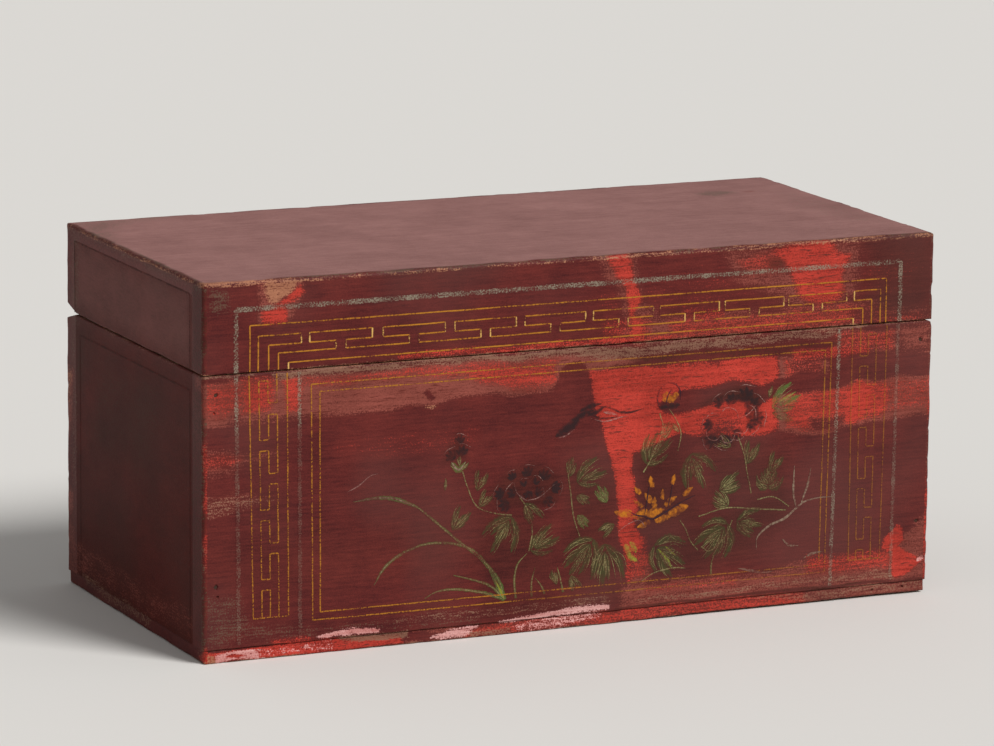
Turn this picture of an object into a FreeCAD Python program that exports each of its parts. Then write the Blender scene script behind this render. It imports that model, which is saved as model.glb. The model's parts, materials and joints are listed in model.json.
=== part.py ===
import FreeCAD, Part

import math
import os

import Sketcher
from FreeCAD import Placement, Rotation, Vector

# Small lacquered wooden chest with a lift-up lid. X runs along the front, Y runs from the
# front to the back, Z is up, and the origin lies under the middle of the floor.

# Driving dimensions, in millimetres and degrees.
SIZES = {
    # Overall box
    "chest_length": 460.0,
    "chest_depth": 218.0,
    "body_height": 164.0,
    "lid_height": 52.0,
    "seam_gap": 0.5,
    # Boards
    "front_thickness": 16.0,
    "side_thickness": 16.0,
    "bottom_thickness": 8.0,
    "bottom_set_back": 1.0,
    "bottom_bevel_depth": 9.0,
    "bottom_bevel_rise": 3.5,
    "lid_top_thickness": 9.0,
    # Worn corners and rims
    "corner_round": 2.0,
    "rim_round": 1.0,
    # Groove along the back, between the lid and the body
    "lid_bevel": 4.6,
    "body_bevel": 4.2,
    # Linked wire eyes
    "hinge_from_end": 100.0,
    "hinge_inset": 3.6,
    "wire_diameter": 2.0,
    "wire_flats": 4,
    "wire_bend_inside": 0.5,
    "eye_play": 0.3,
    "eye_room": 0.8,
    "leg_angle": 40.0,
    "leg_gap": 0.3,
    "leg_play": 0.25,
    "tail_length": 9.0,
    "tail_play": 0.05,
    # Square forged nails
    "nail_head": 3.2,
    "nail_head_thickness": 1.0,
    "nail_shank": 2.2,
    "nail_tip": 0.8,
    "nail_sink": 1.0,
    "corner_nail_length": 36.0,
    "panel_nail_length": 24.0,
    "corner_nail_from_rim": 11.0,
    "corner_nail_from_floor": 36.0,
    "lid_nail_from_rim": 12.0,
    "lid_nail_from_top": 12.0,
    "panel_nail_from_inside": 4.0,
    "panel_nail_from_end": 50.0,
    "panel_nails_in_row": 4,
}

# Heights and places that several pieces share, worked out from the driving dimensions.
FRONT_FACE = "-Sizes.chest_depth / 2"
BACK_FACE = "Sizes.chest_depth / 2"
LEFT_FACE = "-Sizes.chest_length / 2"
BOARD_HEIGHT = "(Sizes.body_height - Sizes.bottom_thickness)"
RAIL_HEIGHT = "(Sizes.lid_height - Sizes.lid_top_thickness)"
LID_RIM = "(Sizes.body_height + Sizes.seam_gap)"
LID_TOP = f"({LID_RIM} + Sizes.lid_height)"
SIDE_SPAN = "(Sizes.chest_depth - 2 * Sizes.front_thickness)"
SIDE_PITCH = "(Sizes.chest_length - Sizes.side_thickness)"
PANEL_NAIL_ROW = "(Sizes.chest_depth / 2 - Sizes.front_thickness + Sizes.panel_nail_from_inside)"
PANEL_NAIL_RUN = "(Sizes.chest_length - 2 * Sizes.panel_nail_from_end)"
EYE_RADIUS = "(Sizes.wire_diameter + Sizes.eye_play)"
EYE_OUTSIDE = f"({EYE_RADIUS} + Sizes.wire_diameter / 2)"

TO_FRONT = Rotation(Vector(1, 0, 0), 90)
TO_BACK = Rotation(Vector(1, 0, 0), -90)
TO_FLOOR = Rotation(Vector(1, 0, 0), 180)
UPRIGHT = Rotation()

NEAR = 0.01


def driving_sheet(doc):
    """The spreadsheet that holds the driving dimensions."""
    sheet = doc.addObject("Spreadsheet::Sheet", "Sizes")
    for row, (alias, value) in enumerate(SIZES.items(), start=1):
        sheet.set(f"A{row}", alias)
        sheet.set(f"B{row}", str(value))
        sheet.setAlias(f"B{row}", alias)
    doc.recompute()
    return sheet


def place(item, turn, x="0", y="0", z="0"):
    """Set a piece's turn and bind its position to expressions."""
    item.Placement = Placement(Vector(), turn)
    item.setExpression("Placement.Base.x", x)
    item.setExpression("Placement.Base.y", y)
    item.setExpression("Placement.Base.z", z)


def origin_feature(body, role):
    """One of a body's own origin planes or axes."""
    return next(item for item in body.Origin.OriginFeatures if item.Role == role)


def sketch_on(body, name, role):
    """An empty sketch on one of the body's origin planes."""
    sketch = body.newObject("Sketcher::SketchObject", name)
    sketch.AttachmentSupport = [(origin_feature(body, role), "")]
    sketch.MapMode = "FlatFace"
    return sketch


def closed_outline(sketch, corners):
    """Draw straight lines through corners, each a pair of expressions (across, up), none below zero."""
    count = len(corners)
    turn = 2 * math.pi / count
    rough = [Vector(math.cos(turn * index), math.sin(turn * index), 0) for index in range(count)]
    for index in range(count):
        sketch.addGeometry(Part.LineSegment(rough[index], rough[(index + 1) % count]), False)
    for index in range(count):
        sketch.addConstraint(Sketcher.Constraint("Coincident", index, 2, (index + 1) % count, 1))
    for index, corner in enumerate(corners):
        for kind, axis, distance in zip(("DistanceX", "DistanceY"), (-2, -1), corner):
            if distance == "0":
                sketch.addConstraint(Sketcher.Constraint("PointOnObject", index, 1, axis))
            else:
                bound = sketch.addConstraint(Sketcher.Constraint(kind, -1, 1, index, 1, 1.0))
                sketch.setExpression(f"Constraints[{bound}]", distance)


def centred_square(sketch, side):
    """Draw a square about the sketch's origin."""
    rough = [Vector(-1, -1, 0), Vector(1, -1, 0), Vector(1, 1, 0), Vector(-1, 1, 0)]
    for index in range(4):
        sketch.addGeometry(Part.LineSegment(rough[index], rough[(index + 1) % 4]), False)
    for index in range(4):
        sketch.addConstraint(Sketcher.Constraint("Coincident", index, 2, (index + 1) % 4, 1))
        sketch.addConstraint(Sketcher.Constraint("Vertical" if index % 2 else "Horizontal", index))
    sketch.addConstraint(Sketcher.Constraint("Symmetric", 0, 1, 2, 1, -1, 1))
    for kind, line in (("DistanceX", 0), ("DistanceY", 1)):
        bound = sketch.addConstraint(Sketcher.Constraint(kind, line, 1, line, 2, 1.0))
        sketch.setExpression(f"Constraints[{bound}]", side)


def edges_where(feature, wanted):
    """Names of the feature's edges whose bounding box passes the test."""
    edges = enumerate(feature.Shape.Edges, start=1)
    return [f"Edge{number}" for number, edge in edges if wanted(edge.BoundBox)]


def rounded(body, feature, name, radius, wanted):
    """Round the chosen edges of the body's last feature."""
    body.Document.recompute()
    fillet = body.newObject("PartDesign::Fillet", name)
    fillet.Base = (feature, edges_where(feature, wanted))
    fillet.setExpression("Radius", radius)
    return fillet


def sawn_board(doc, label, role, corners, span):
    """A board: its section drawn on one plane and run equally to both sides of it."""
    body = doc.addObject("PartDesign::Body", label)
    section = sketch_on(body, f"{label}_section", role)
    closed_outline(section, corners)
    board = body.newObject("PartDesign::Pad", f"{label}_run")
    board.Profile = section
    board.SideType = "Symmetric"
    board.setExpression("Length", span)
    return body, board


def rectangle(width, height):
    """Corners of a plain section."""
    return [("0", "0"), (width, "0"), (width, height), ("0", height)]


def upright(box):
    """True for an edge that stands straight up."""
    return max(box.XLength, box.YLength) < NEAR


def long_board(doc, label, corners, outer_face, rim=None):
    """A board along X with its two outer upright corners rounded, and its outer rim if it has one.

    outer_face is the section's distance to the outer face, and rim the height of the rounded rim.
    """
    body, board = sawn_board(doc, label, "YZ_Plane", corners, "Sizes.chest_length")

    def outer_corner(box):
        return upright(box) and abs(box.YMin - outer_face) < NEAR

    def outer_rim(box):
        on_rim = max(abs(box.ZMin - rim), abs(box.ZMax - rim)) < NEAR
        on_inner_face = box.YLength < NEAR and abs(box.YMin - outer_face) > NEAR
        return on_rim and not on_inner_face

    corner = rounded(body, board, f"{label}_corners", "Sizes.corner_round", outer_corner)
    if rim is not None:
        rounded(body, corner, f"{label}_rim", "Sizes.rim_round", outer_rim)
    return body


def side_board(doc, label, height, outer_face, rim):
    """A board along Y between the front and the back, with its outer rim rounded."""
    body, board = sawn_board(doc, label, "XZ_Plane", rectangle("Sizes.side_thickness", height), SIDE_SPAN)

    def outer_rim(box):
        on_rim = max(abs(box.ZMin - rim), abs(box.ZMax - rim)) < NEAR
        return on_rim and max(abs(box.XMin - outer_face), abs(box.XMax - outer_face)) < NEAR

    rounded(body, board, f"{label}_rim", "Sizes.rim_round", outer_rim)
    return body


def chest_boards(doc, size):
    """The walls and the floor of the body."""
    board_height = size.body_height - size.bottom_thickness
    front = long_board(doc, "front_blank", rectangle("Sizes.front_thickness", BOARD_HEIGHT), 0, board_height)
    place(front, UPRIGHT, y=FRONT_FACE, z="Sizes.bottom_thickness")

    back_section = [
        ("0", "0"),
        ("Sizes.front_thickness", "0"),
        ("Sizes.front_thickness", f"{BOARD_HEIGHT} - Sizes.body_bevel"),
        ("0", BOARD_HEIGHT),
    ]
    back = long_board(doc, "back_blank", back_section, size.front_thickness)
    place(back, UPRIGHT, y=f"{BACK_FACE} - Sizes.front_thickness", z="Sizes.bottom_thickness")

    left = side_board(doc, "left_blank", BOARD_HEIGHT, 0, board_height)
    place(left, UPRIGHT, x=LEFT_FACE, z="Sizes.bottom_thickness")
    right = side_board(doc, "right_blank", BOARD_HEIGHT, size.side_thickness, board_height)
    place(right, UPRIGHT, x="Sizes.chest_length / 2 - Sizes.side_thickness", z="Sizes.bottom_thickness")

    floor_depth = "(Sizes.chest_depth - 2 * Sizes.bottom_set_back)"
    floor_section = [
        ("0", "0"),
        (f"{floor_depth} - Sizes.bottom_bevel_depth", "0"),
        (floor_depth, "Sizes.bottom_bevel_rise"),
        (floor_depth, "Sizes.bottom_thickness"),
        ("0", "Sizes.bottom_thickness"),
    ]
    floor_run = "Sizes.chest_length - 2 * Sizes.bottom_set_back"
    floor, _ = sawn_board(doc, "floor_blank", "YZ_Plane", floor_section, floor_run)
    place(floor, UPRIGHT, y=f"{FRONT_FACE} + Sizes.bottom_set_back")
    return {"front": front, "back": back, "left": left, "right": right, "floor": floor}


def lid_boards(doc, size):
    """The four rails and the top of the lid."""
    front = long_board(doc, "lid_front_blank", rectangle("Sizes.front_thickness", RAIL_HEIGHT), 0, 0)
    place(front, UPRIGHT, y=FRONT_FACE, z=LID_RIM)

    back_section = [
        ("0", "0"),
        ("Sizes.front_thickness", "Sizes.lid_bevel"),
        ("Sizes.front_thickness", RAIL_HEIGHT),
        ("0", RAIL_HEIGHT),
    ]
    back = long_board(doc, "lid_back_blank", back_section, size.front_thickness)
    place(back, UPRIGHT, y=f"{BACK_FACE} - Sizes.front_thickness", z=LID_RIM)

    left = side_board(doc, "lid_left_blank", RAIL_HEIGHT, 0, 0)
    place(left, UPRIGHT, x=LEFT_FACE, z=LID_RIM)
    right = side_board(doc, "lid_right_blank", RAIL_HEIGHT, size.side_thickness, 0)
    place(right, UPRIGHT, x="Sizes.chest_length / 2 - Sizes.side_thickness", z=LID_RIM)

    top_section = rectangle("Sizes.chest_depth", "Sizes.lid_top_thickness")
    top, slab = sawn_board(doc, "lid_top_blank", "YZ_Plane", top_section, "Sizes.chest_length")

    def outer_edge(box):
        return upright(box) or box.ZMin > size.lid_top_thickness - NEAR

    rounded(top, slab, "lid_top_edges", "Sizes.corner_round", outer_edge)
    place(top, UPRIGHT, y=FRONT_FACE, z=f"{LID_TOP} - Sizes.lid_top_thickness")
    return {"front": front, "back": back, "left": left, "right": right, "top": top}


def nail_grid(doc, label, length, columns, rows, open_to_face=False):
    """Square tapered nails pointing along -Z from z = 0, in columns along X and rows along Y.

    columns and rows are each a pair (how many, expression for the whole run). A nail's head is
    sunk below the face, and with open_to_face the head reaches up to it, which makes the hole's shape.
    """
    body = doc.addObject("PartDesign::Body", label)
    body.AllowCompound = True
    head_square = sketch_on(body, f"{label}_head_square", "XY_Plane")
    centred_square(head_square, "Sizes.nail_head")
    head = body.newObject("PartDesign::Pad", f"{label}_head")
    head.Profile = head_square
    head.Reversed = True
    if open_to_face:
        head.setExpression("Length", "Sizes.nail_sink + Sizes.nail_head_thickness")
    else:
        head_square.setExpression("AttachmentOffset.Base.z", "-Sizes.nail_sink")
        head.setExpression("Length", "Sizes.nail_head_thickness")

    shank_square = sketch_on(body, f"{label}_shank_square", "XY_Plane")
    shank_square.setExpression("AttachmentOffset.Base.z", "-Sizes.nail_sink")
    centred_square(shank_square, "Sizes.nail_shank")
    shank = body.newObject("PartDesign::Pad", f"{label}_shank")
    shank.Profile = shank_square
    shank.Reversed = True
    shank.setExpression("Length", f"{length} - Sizes.nail_sink")
    slope = f"(Sizes.nail_shank - Sizes.nail_tip) / 2 / ({length} - Sizes.nail_sink)"
    shank.setExpression("TaperAngle", f"-atan({slope})")

    grid = body.newObject("PartDesign::LinearPattern", f"{label}_grid")
    grid.Originals = [head, shank]
    grid.Direction = (origin_feature(body, "X_Axis"), [""])
    grid.Occurrences = columns[0]
    grid.setExpression("Length", columns[1])
    grid.Direction2 = (origin_feature(body, "Y_Axis"), [""])
    grid.Occurrences2 = rows[0]
    grid.setExpression("Length2", rows[1])
    body.Tip = grid
    return body


def nails_and_holes(doc, label, length, columns, rows, turn, x, y, z):
    """A group of nails, and the shape of the holes that they stand in."""
    nails = nail_grid(doc, label, length, columns, rows)
    holes = nail_grid(doc, f"{label}_holes", length, columns, rows, open_to_face=True)
    for item in (nails, holes):
        place(item, turn, x, y, z)
    return nails, holes


def chest_nails(doc, size):
    """Nails of the body: corner nails from the front and the back, and nails up through the floor."""
    low = "(Sizes.bottom_thickness + Sizes.corner_nail_from_floor)"
    high = "(Sizes.body_height - Sizes.corner_nail_from_rim)"
    corner_columns = (2, SIDE_PITCH)
    corner_rows = (2, f"{high} - {low}")
    corner_x = f"-{SIDE_PITCH} / 2"
    row_count = int(size.panel_nails_in_row)
    run = (row_count, PANEL_NAIL_RUN)
    return {
        "front": nails_and_holes(
            doc, "front_corner_nails", "Sizes.corner_nail_length", corner_columns, corner_rows,
            TO_FRONT, corner_x, FRONT_FACE, low),
        "back": nails_and_holes(
            doc, "back_corner_nails", "Sizes.corner_nail_length", corner_columns, corner_rows,
            TO_BACK, corner_x, BACK_FACE, high),
        "floor": nails_and_holes(
            doc, "bottom_nails", "Sizes.panel_nail_length", run, (2, f"2 * {PANEL_NAIL_ROW}"),
            TO_FLOOR, f"-{PANEL_NAIL_RUN} / 2", PANEL_NAIL_ROW, "0"),
        "floor_ends": nails_and_holes(
            doc, "bottom_end_nails", "Sizes.panel_nail_length", corner_columns, (2, f"{SIDE_SPAN} / 2"),
            TO_FLOOR, corner_x, f"{SIDE_SPAN} / 4", "0"),
    }


def lid_nails(doc, size):
    """Nails of the lid: corner nails from the front and the back, and nails down through the top."""
    low = f"({LID_RIM} + Sizes.lid_nail_from_rim)"
    high = f"({LID_TOP} - Sizes.lid_top_thickness - Sizes.lid_nail_from_top)"
    corner_columns = (2, SIDE_PITCH)
    corner_rows = (2, f"{high} - {low}")
    corner_x = f"-{SIDE_PITCH} / 2"
    run = (int(size.panel_nails_in_row), PANEL_NAIL_RUN)
    return {
        "front": nails_and_holes(
            doc, "lid_front_corner_nails", "Sizes.corner_nail_length", corner_columns, corner_rows,
            TO_FRONT, corner_x, FRONT_FACE, low),
        "back": nails_and_holes(
            doc, "lid_back_corner_nails", "Sizes.corner_nail_length", corner_columns, corner_rows,
            TO_BACK, corner_x, BACK_FACE, high),
        "top": nails_and_holes(
            doc, "lid_top_nails", "Sizes.panel_nail_length", run, (2, f"2 * {PANEL_NAIL_ROW}"),
            UPRIGHT, f"-{PANEL_NAIL_RUN} / 2", f"-{PANEL_NAIL_ROW}", LID_TOP),
    }


def hinge_point(size, hand):
    """The point on the hinge axis at one hinge; hand is -1 at the left and 1 at the right."""
    groove_middle = size.body_height + size.seam_gap / 2
    from_middle = size.chest_length / 2 - size.hinge_from_end
    return Vector(hand * from_middle, size.chest_depth / 2 - size.hinge_inset, groove_middle)


def leg_direction(size, rise):
    """The way a pair of legs runs from its eye: forward, and up in the lid (rise 1) or down (rise -1)."""
    angle = math.radians(size.leg_angle)
    return Vector(0, -math.cos(angle), rise * math.sin(angle))


def eye_radius(size):
    """Radius of an eye at the middle of its wire: the other eye's wire turns in it with some play."""
    return size.wire_diameter + size.eye_play


def split_eye_half(size, centre, side, leg, hand):
    """One half of an eye's centre line, from the end of its clenched tail to the eye.

    The halves part along side at the eye, their legs run along leg, and their tails along X.
    """
    eye = eye_radius(size)
    bend = size.wire_bend_inside + size.wire_diameter / 2
    offset = side * (hand * (size.wire_diameter + size.leg_gap) / 2)
    tail_way = Vector(hand, 0, 0)
    neck_drop = math.sqrt((eye + bend) ** 2 - (offset.Length + bend) ** 2)
    leg_top = centre + offset + leg * neck_drop
    neck_centre = leg_top + side * (hand * bend)
    on_eye = centre + (neck_centre - centre) * (eye / (eye + bend))
    neck_middle = neck_centre + ((on_eye + leg_top) / 2 - neck_centre).normalize() * bend

    inner_face = size.chest_depth / 2 - size.front_thickness
    tail_line = inner_face - size.tail_play - size.wire_diameter / 2
    corner = leg_top + leg * ((tail_line - leg_top.y) / leg.y)
    bend_start = corner + tail_way * bend
    bend_end = corner - leg * bend
    bend_centre = bend_start - leg * bend
    bend_middle = bend_centre + (corner - bend_centre).normalize() * bend
    tail_end = corner + tail_way * size.tail_length
    edges = [
        Part.LineSegment(tail_end, bend_start).toShape(),
        Part.Arc(bend_start, bend_middle, bend_end).toShape(),
        Part.LineSegment(bend_end, leg_top).toShape(),
        Part.Arc(leg_top, neck_middle, on_eye).toShape(),
    ]
    return tail_end, on_eye, edges


def split_eye(doc, label, size, centre, side, leg):
    """An eye of hammered square wire whose two legs are clenched flat against the inside of the board."""
    tail_end, first, first_half = split_eye_half(size, centre, side, leg, 1)
    _, second, second_half = split_eye_half(size, centre, side, leg, -1)
    crown = Part.Arc(first, centre - leg * eye_radius(size), second).toShape()
    spine = doc.addObject("Part::Feature", f"{label}_spine")
    spine.Shape = Part.Wire(first_half + [crown] + second_half[::-1])

    section = doc.addObject("Part::RegularPolygon", f"{label}_section")
    section.setExpression("Polygon", "Sizes.wire_flats")
    section.setExpression("Circumradius", "Sizes.wire_diameter / 2")
    flats_on_board = Rotation(Vector(0, 0, 1), 180 / size.wire_flats)
    section.Placement = Placement(tail_end, Rotation(Vector(0, 0, 1), Vector(1, 0, 0)) * flats_on_board)

    wire = doc.addObject("Part::Sweep", label)
    wire.Sections = [section]
    wire.Spine = (spine, [f"Edge{number}" for number in range(1, len(spine.Shape.Edges) + 1)])
    wire.Solid = True
    wire.Frenet = False
    return wire


def bore(doc, label, radius, length, start, way):
    """A round hole's shape that starts at a point and runs along a direction."""
    hole = doc.addObject("Part::Cylinder", label)
    hole.setExpression("Radius", radius)
    hole.setExpression("Height", length)
    hole.Placement = Placement(start, Rotation(Vector(0, 0, 1), way))
    return hole


def eye_notch(doc, name, size, axis_point):
    """The round notch about the axis, cut in both boards, that the body's eye stands in."""
    start = axis_point - Vector(size.wire_diameter / 2 + size.eye_room, 0, 0)
    radius = f"{EYE_OUTSIDE} + Sizes.eye_room"
    width = "Sizes.wire_diameter + 2 * Sizes.eye_room"
    return bore(doc, f"{name}_eye_notch", radius, width, start, Vector(1, 0, 0))


def hinge(doc, size, name, hand):
    """One hinge: the body's eye, the lid's eye linked through it, and the holes that they need.

    The body's eye stands square to the axis and is centred on it. The lid's eye lies along the
    axis, so that its wire is the pin that turns in the body's eye.
    """
    axis_point = hinge_point(size, hand)
    body_leg = leg_direction(size, -1)
    lid_leg = leg_direction(size, 1)
    along = Vector(1, 0, 0)
    body_eye = split_eye(doc, f"{name}_body_eye", size, axis_point, along.cross(body_leg), body_leg)
    lid_centre = axis_point + lid_leg * eye_radius(size)
    lid_eye = split_eye(doc, f"{name}_lid_eye", size, lid_centre, along, lid_leg)

    leg_hole = "Sizes.wire_diameter + Sizes.leg_gap / 2 + Sizes.leg_play"
    leg_hole_length = "2 * Sizes.front_thickness"
    notch = eye_notch(doc, name, size, axis_point)
    body_holes = [
        notch,
        bore(doc, f"{name}_body_leg_hole", leg_hole, leg_hole_length, axis_point, body_leg),
    ]
    eye_seat = f"{EYE_OUTSIDE} + Sizes.eye_play"
    eye_seat_depth = f"{EYE_RADIUS} + {EYE_OUTSIDE} + Sizes.eye_play"
    lid_holes = [
        notch,
        bore(doc, f"{name}_lid_leg_hole", leg_hole, leg_hole_length, axis_point, lid_leg),
        bore(doc, f"{name}_eye_seat", eye_seat, eye_seat_depth, axis_point, lid_leg),
    ]
    return {"eyes": [body_eye, lid_eye], "body_holes": body_holes, "lid_holes": lid_holes}


def carved(doc, label, board, tools):
    """A finished board: the blank less the shapes of its holes."""
    tool = tools[0]
    if len(tools) > 1:
        tool = doc.addObject("Part::MultiFuse", f"{label}_holes")
        tool.Shapes = tools
    cut = doc.addObject("Part::Cut", label)
    cut.Base = board
    cut.Tool = tool
    return cut


def build(doc):
    """Every piece of the chest, in the order of its making."""
    size = driving_sheet(doc)
    chest = chest_boards(doc, size)
    lid = lid_boards(doc, size)
    chest_nail = chest_nails(doc, size)
    lid_nail = lid_nails(doc, size)
    hinges = [hinge(doc, size, name, hand) for name, hand in (("left", -1), ("right", 1))]
    doc.recompute()

    chest_hole = {name: pair[1] for name, pair in chest_nail.items()}
    lid_hole = {name: pair[1] for name, pair in lid_nail.items()}
    body_bores = [hole for item in hinges for hole in item["body_holes"]]
    lid_bores = [hole for item in hinges for hole in item["lid_holes"]]
    corner_holes = [chest_hole["front"], chest_hole["back"]]
    lid_corner_holes = [lid_hole["front"], lid_hole["back"]]
    pieces = [
        carved(doc, "front_board", chest["front"], [chest_hole["front"], chest_hole["floor"]]),
        carved(doc, "back_board", chest["back"], [chest_hole["back"], chest_hole["floor"]] + body_bores),
        carved(doc, "left_side_board", chest["left"], corner_holes + [chest_hole["floor_ends"]]),
        carved(doc, "right_side_board", chest["right"], corner_holes + [chest_hole["floor_ends"]]),
        carved(doc, "bottom_board", chest["floor"], [chest_hole["floor"], chest_hole["floor_ends"]]),
        carved(doc, "lid_front_rail", lid["front"], [lid_hole["front"], lid_hole["top"]]),
        carved(doc, "lid_back_rail", lid["back"], [lid_hole["back"], lid_hole["top"]] + lid_bores),
        carved(doc, "lid_left_rail", lid["left"], lid_corner_holes),
        carved(doc, "lid_right_rail", lid["right"], lid_corner_holes),
        carved(doc, "lid_top_board", lid["top"], [lid_hole["top"]]),
    ]
    pieces += [pair[0] for pair in chest_nail.values()]
    pieces += [pair[0] for pair in lid_nail.values()]
    pieces += [eye for item in hinges for eye in item["eyes"]]
    doc.recompute()
    return pieces


def check(doc, pieces):
    """Stop if an object failed or a piece has no valid solid."""
    for item in doc.Objects:
        if "Invalid" in item.State or "Error" in item.State:
            raise RuntimeError(f"{item.Name} failed: {item.State}")
    for piece in pieces:
        if piece.Shape.isNull() or not piece.Shape.isValid() or not piece.Shape.Solids:
            raise RuntimeError(f"{piece.Label} has no valid solid")


def main():
    """Build the chest and write each piece to its own file."""
    os.makedirs("parts", exist_ok=True)
    doc = FreeCAD.newDocument("small_chest")
    pieces = build(doc)
    check(doc, pieces)
    for piece in pieces:
        piece.Shape.exportStep(f"parts/{piece.Label}.step")
        print(piece.Label, len(piece.Shape.Solids), "solids", round(piece.Shape.Volume), "mm3")


main()
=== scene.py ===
"""Dressed scene of a small painted lacquer chest, built over the frame of its CAD part.

All sizes are millimetres in the part's own frame: X to the right, Y to the back and Z up.
"""

import itertools
import json
import logging
import math
from abc import ABC, abstractmethod
from dataclasses import dataclass, field
from enum import Enum
from typing import Any, Mapping, Optional, Sequence

import bmesh
import bpy
import numpy as np
from mathutils import Matrix, Vector


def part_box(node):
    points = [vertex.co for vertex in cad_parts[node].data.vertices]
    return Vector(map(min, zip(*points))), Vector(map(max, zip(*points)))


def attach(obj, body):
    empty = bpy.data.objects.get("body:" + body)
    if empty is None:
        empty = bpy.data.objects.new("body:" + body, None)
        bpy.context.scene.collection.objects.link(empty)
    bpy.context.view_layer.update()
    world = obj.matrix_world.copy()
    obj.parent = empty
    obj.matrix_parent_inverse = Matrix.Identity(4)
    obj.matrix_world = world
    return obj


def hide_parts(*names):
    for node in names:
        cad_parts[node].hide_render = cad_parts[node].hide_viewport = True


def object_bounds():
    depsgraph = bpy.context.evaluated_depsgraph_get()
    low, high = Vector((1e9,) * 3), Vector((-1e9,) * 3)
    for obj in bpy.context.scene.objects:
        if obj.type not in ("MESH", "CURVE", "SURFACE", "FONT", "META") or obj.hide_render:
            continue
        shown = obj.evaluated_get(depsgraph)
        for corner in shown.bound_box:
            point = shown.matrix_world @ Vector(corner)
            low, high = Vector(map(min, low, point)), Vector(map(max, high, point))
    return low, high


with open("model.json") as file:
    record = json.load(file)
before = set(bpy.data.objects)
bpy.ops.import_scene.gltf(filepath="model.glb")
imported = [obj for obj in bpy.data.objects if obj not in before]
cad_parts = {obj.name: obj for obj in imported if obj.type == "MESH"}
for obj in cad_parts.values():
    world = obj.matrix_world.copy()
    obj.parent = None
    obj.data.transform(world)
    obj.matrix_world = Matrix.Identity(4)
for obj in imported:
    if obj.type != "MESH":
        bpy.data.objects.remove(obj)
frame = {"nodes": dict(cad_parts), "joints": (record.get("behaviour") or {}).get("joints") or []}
FRAME_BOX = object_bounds()

LOG = logging.getLogger("chest")
MM = 0.001
PHOTO_WIDTH_PX = 994
# How far the lacquer stands back from the frame's box, to leave room for paint.
PAINT_ROOM = 0.25
# How thick the bottom board's edge is.
FLOOR_EDGE = 8

# Odd numbers that scramble a cell's place and a seed into a value that looks random.
CELL_PRIMES = (374761393, 668265263, 2147483647)
SEED_PRIME = 974634777
MIX_PRIME = 1274126177
MIX_SHIFTS = (13, 16)
NOISE_STEPS = 0xFFFF

Tree = bpy.types.NodeTree
Node = bpy.types.Node
Socket = bpy.types.NodeSocket
Material = bpy.types.Material
Mesh = bpy.types.Mesh
Piece = bpy.types.Object
Point = tuple[float, float]
Triple = tuple[float, float, float]
Path = tuple[Point, ...]
Strokes = tuple[tuple[float, Path], ...]


class Body(Enum):
    """The two bodies of the part that a piece can ride on."""

    CHEST = "chest"
    LID = "lid"


class Slot(Enum):
    """The material slots of the part's record."""

    LACQUER = "red_lacquer"
    IRON = "forged_iron"
    GILT = "gilt_paint"
    FLOWERS = "flower_paint"


class Side(Enum):
    """A side of the chest, as the axis that it faces along and the way that it faces."""

    LEFT = (0, -1)
    RIGHT = (0, 1)
    FRONT = (1, -1)
    BACK = (1, 1)
    UNDER = (2, -1)
    TOP = (2, 1)

    @property
    def axis(self) -> int:
        """The axis that the side faces along: 0, 1 or 2 for X, Y or Z."""
        return self.value[0]

    @property
    def way(self) -> int:
        """1 where the side faces up its axis, and -1 where it faces down it."""
        return self.value[1]

    @property
    def across(self) -> list[int]:
        """The two axes that a drawing on the side is laid out on."""
        return [axis for axis in range(3) if axis != self.axis]


class Layer(Enum):
    """What shows on the surface besides sound dark varnish, each kept as a vertex attribute."""

    VARNISH = "varnish"
    # Faded, dusty varnish, together with a painted sheen and the painted light of a face turned up to the lamp.
    FADED = "faded"
    ROSE = "rose"
    RED = "red"
    SOOT = "soot"
    GRIME = "grime"
    BARE = "bare"
    TAN = "tan"
    CHIP = "chip"
    SHADE = "shade"
    LOST = "lost"


LAYERS = list(Layer)
VARNISH, FADED, ROSE, RED, SOOT, GRIME, BARE, TAN, CHIP, SHADE, LOST = LAYERS


class Swell(Enum):
    """How the girth of a brush stroke changes along it."""

    EVEN = "even"
    LEAF = "leaf"
    DRAG = "drag"
    DAB = "dab"


def linear(hex_colour: str) -> tuple[float, float, float, float]:
    """Turns an sRGB hex colour into linear red, green, blue and alpha.

    Args:
        hex_colour: the colour as "#rrggbb".

    Returns:
        The linear colour with full alpha.
    """
    channels = [int(hex_colour[start : start + 2], 16) / 255 for start in (1, 3, 5)]
    light = [c / 12.92 if c <= 0.04045 else ((c + 0.055) / 1.055) ** 2.4 for c in channels]
    return light[0], light[1], light[2], 1.0


def add_node(
    tree: Tree,
    kind: str,
    settings: Optional[Mapping[str, Any]] = None,
    inputs: Optional[Mapping[Any, Any]] = None,
) -> Node:
    """Adds a node to a tree with its settings, socket values and links.

    Args:
        tree: the node tree that gets the node.
        kind: the node's type name.
        settings: properties of the node by name.
        inputs: input sockets by name or number, each with a value, or with the output it is fed from, where
            a node stands for its first output.

    Returns:
        The new node.
    """
    node = tree.nodes.new(kind)
    for name, value in (settings or {}).items():
        setattr(node, name, value)
    for name, value in (inputs or {}).items():
        if isinstance(value, Node):
            value = value.outputs[0]
        if isinstance(value, Socket):
            tree.links.new(value, node.inputs[name])
        else:
            node.inputs[name].default_value = value
    return node


def layered(tree: Tree, colour: Any, *coats: tuple[Any, Any]) -> Socket:
    """Lays coats of colour over a first one.

    Args:
        tree: the node tree that gets the mixes.
        colour: the colour underneath, as a value or an output.
        coats: how much of each coat shows and its colour, from the lowest coat up.

    Returns:
        The output that gives the finished colour.
    """
    for amount, coat in coats:
        mix = add_node(tree, "ShaderNodeMix", {"data_type": "RGBA"}, {0: amount, 6: colour, 7: coat})
        colour = mix.outputs[2]
    return colour


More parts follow.
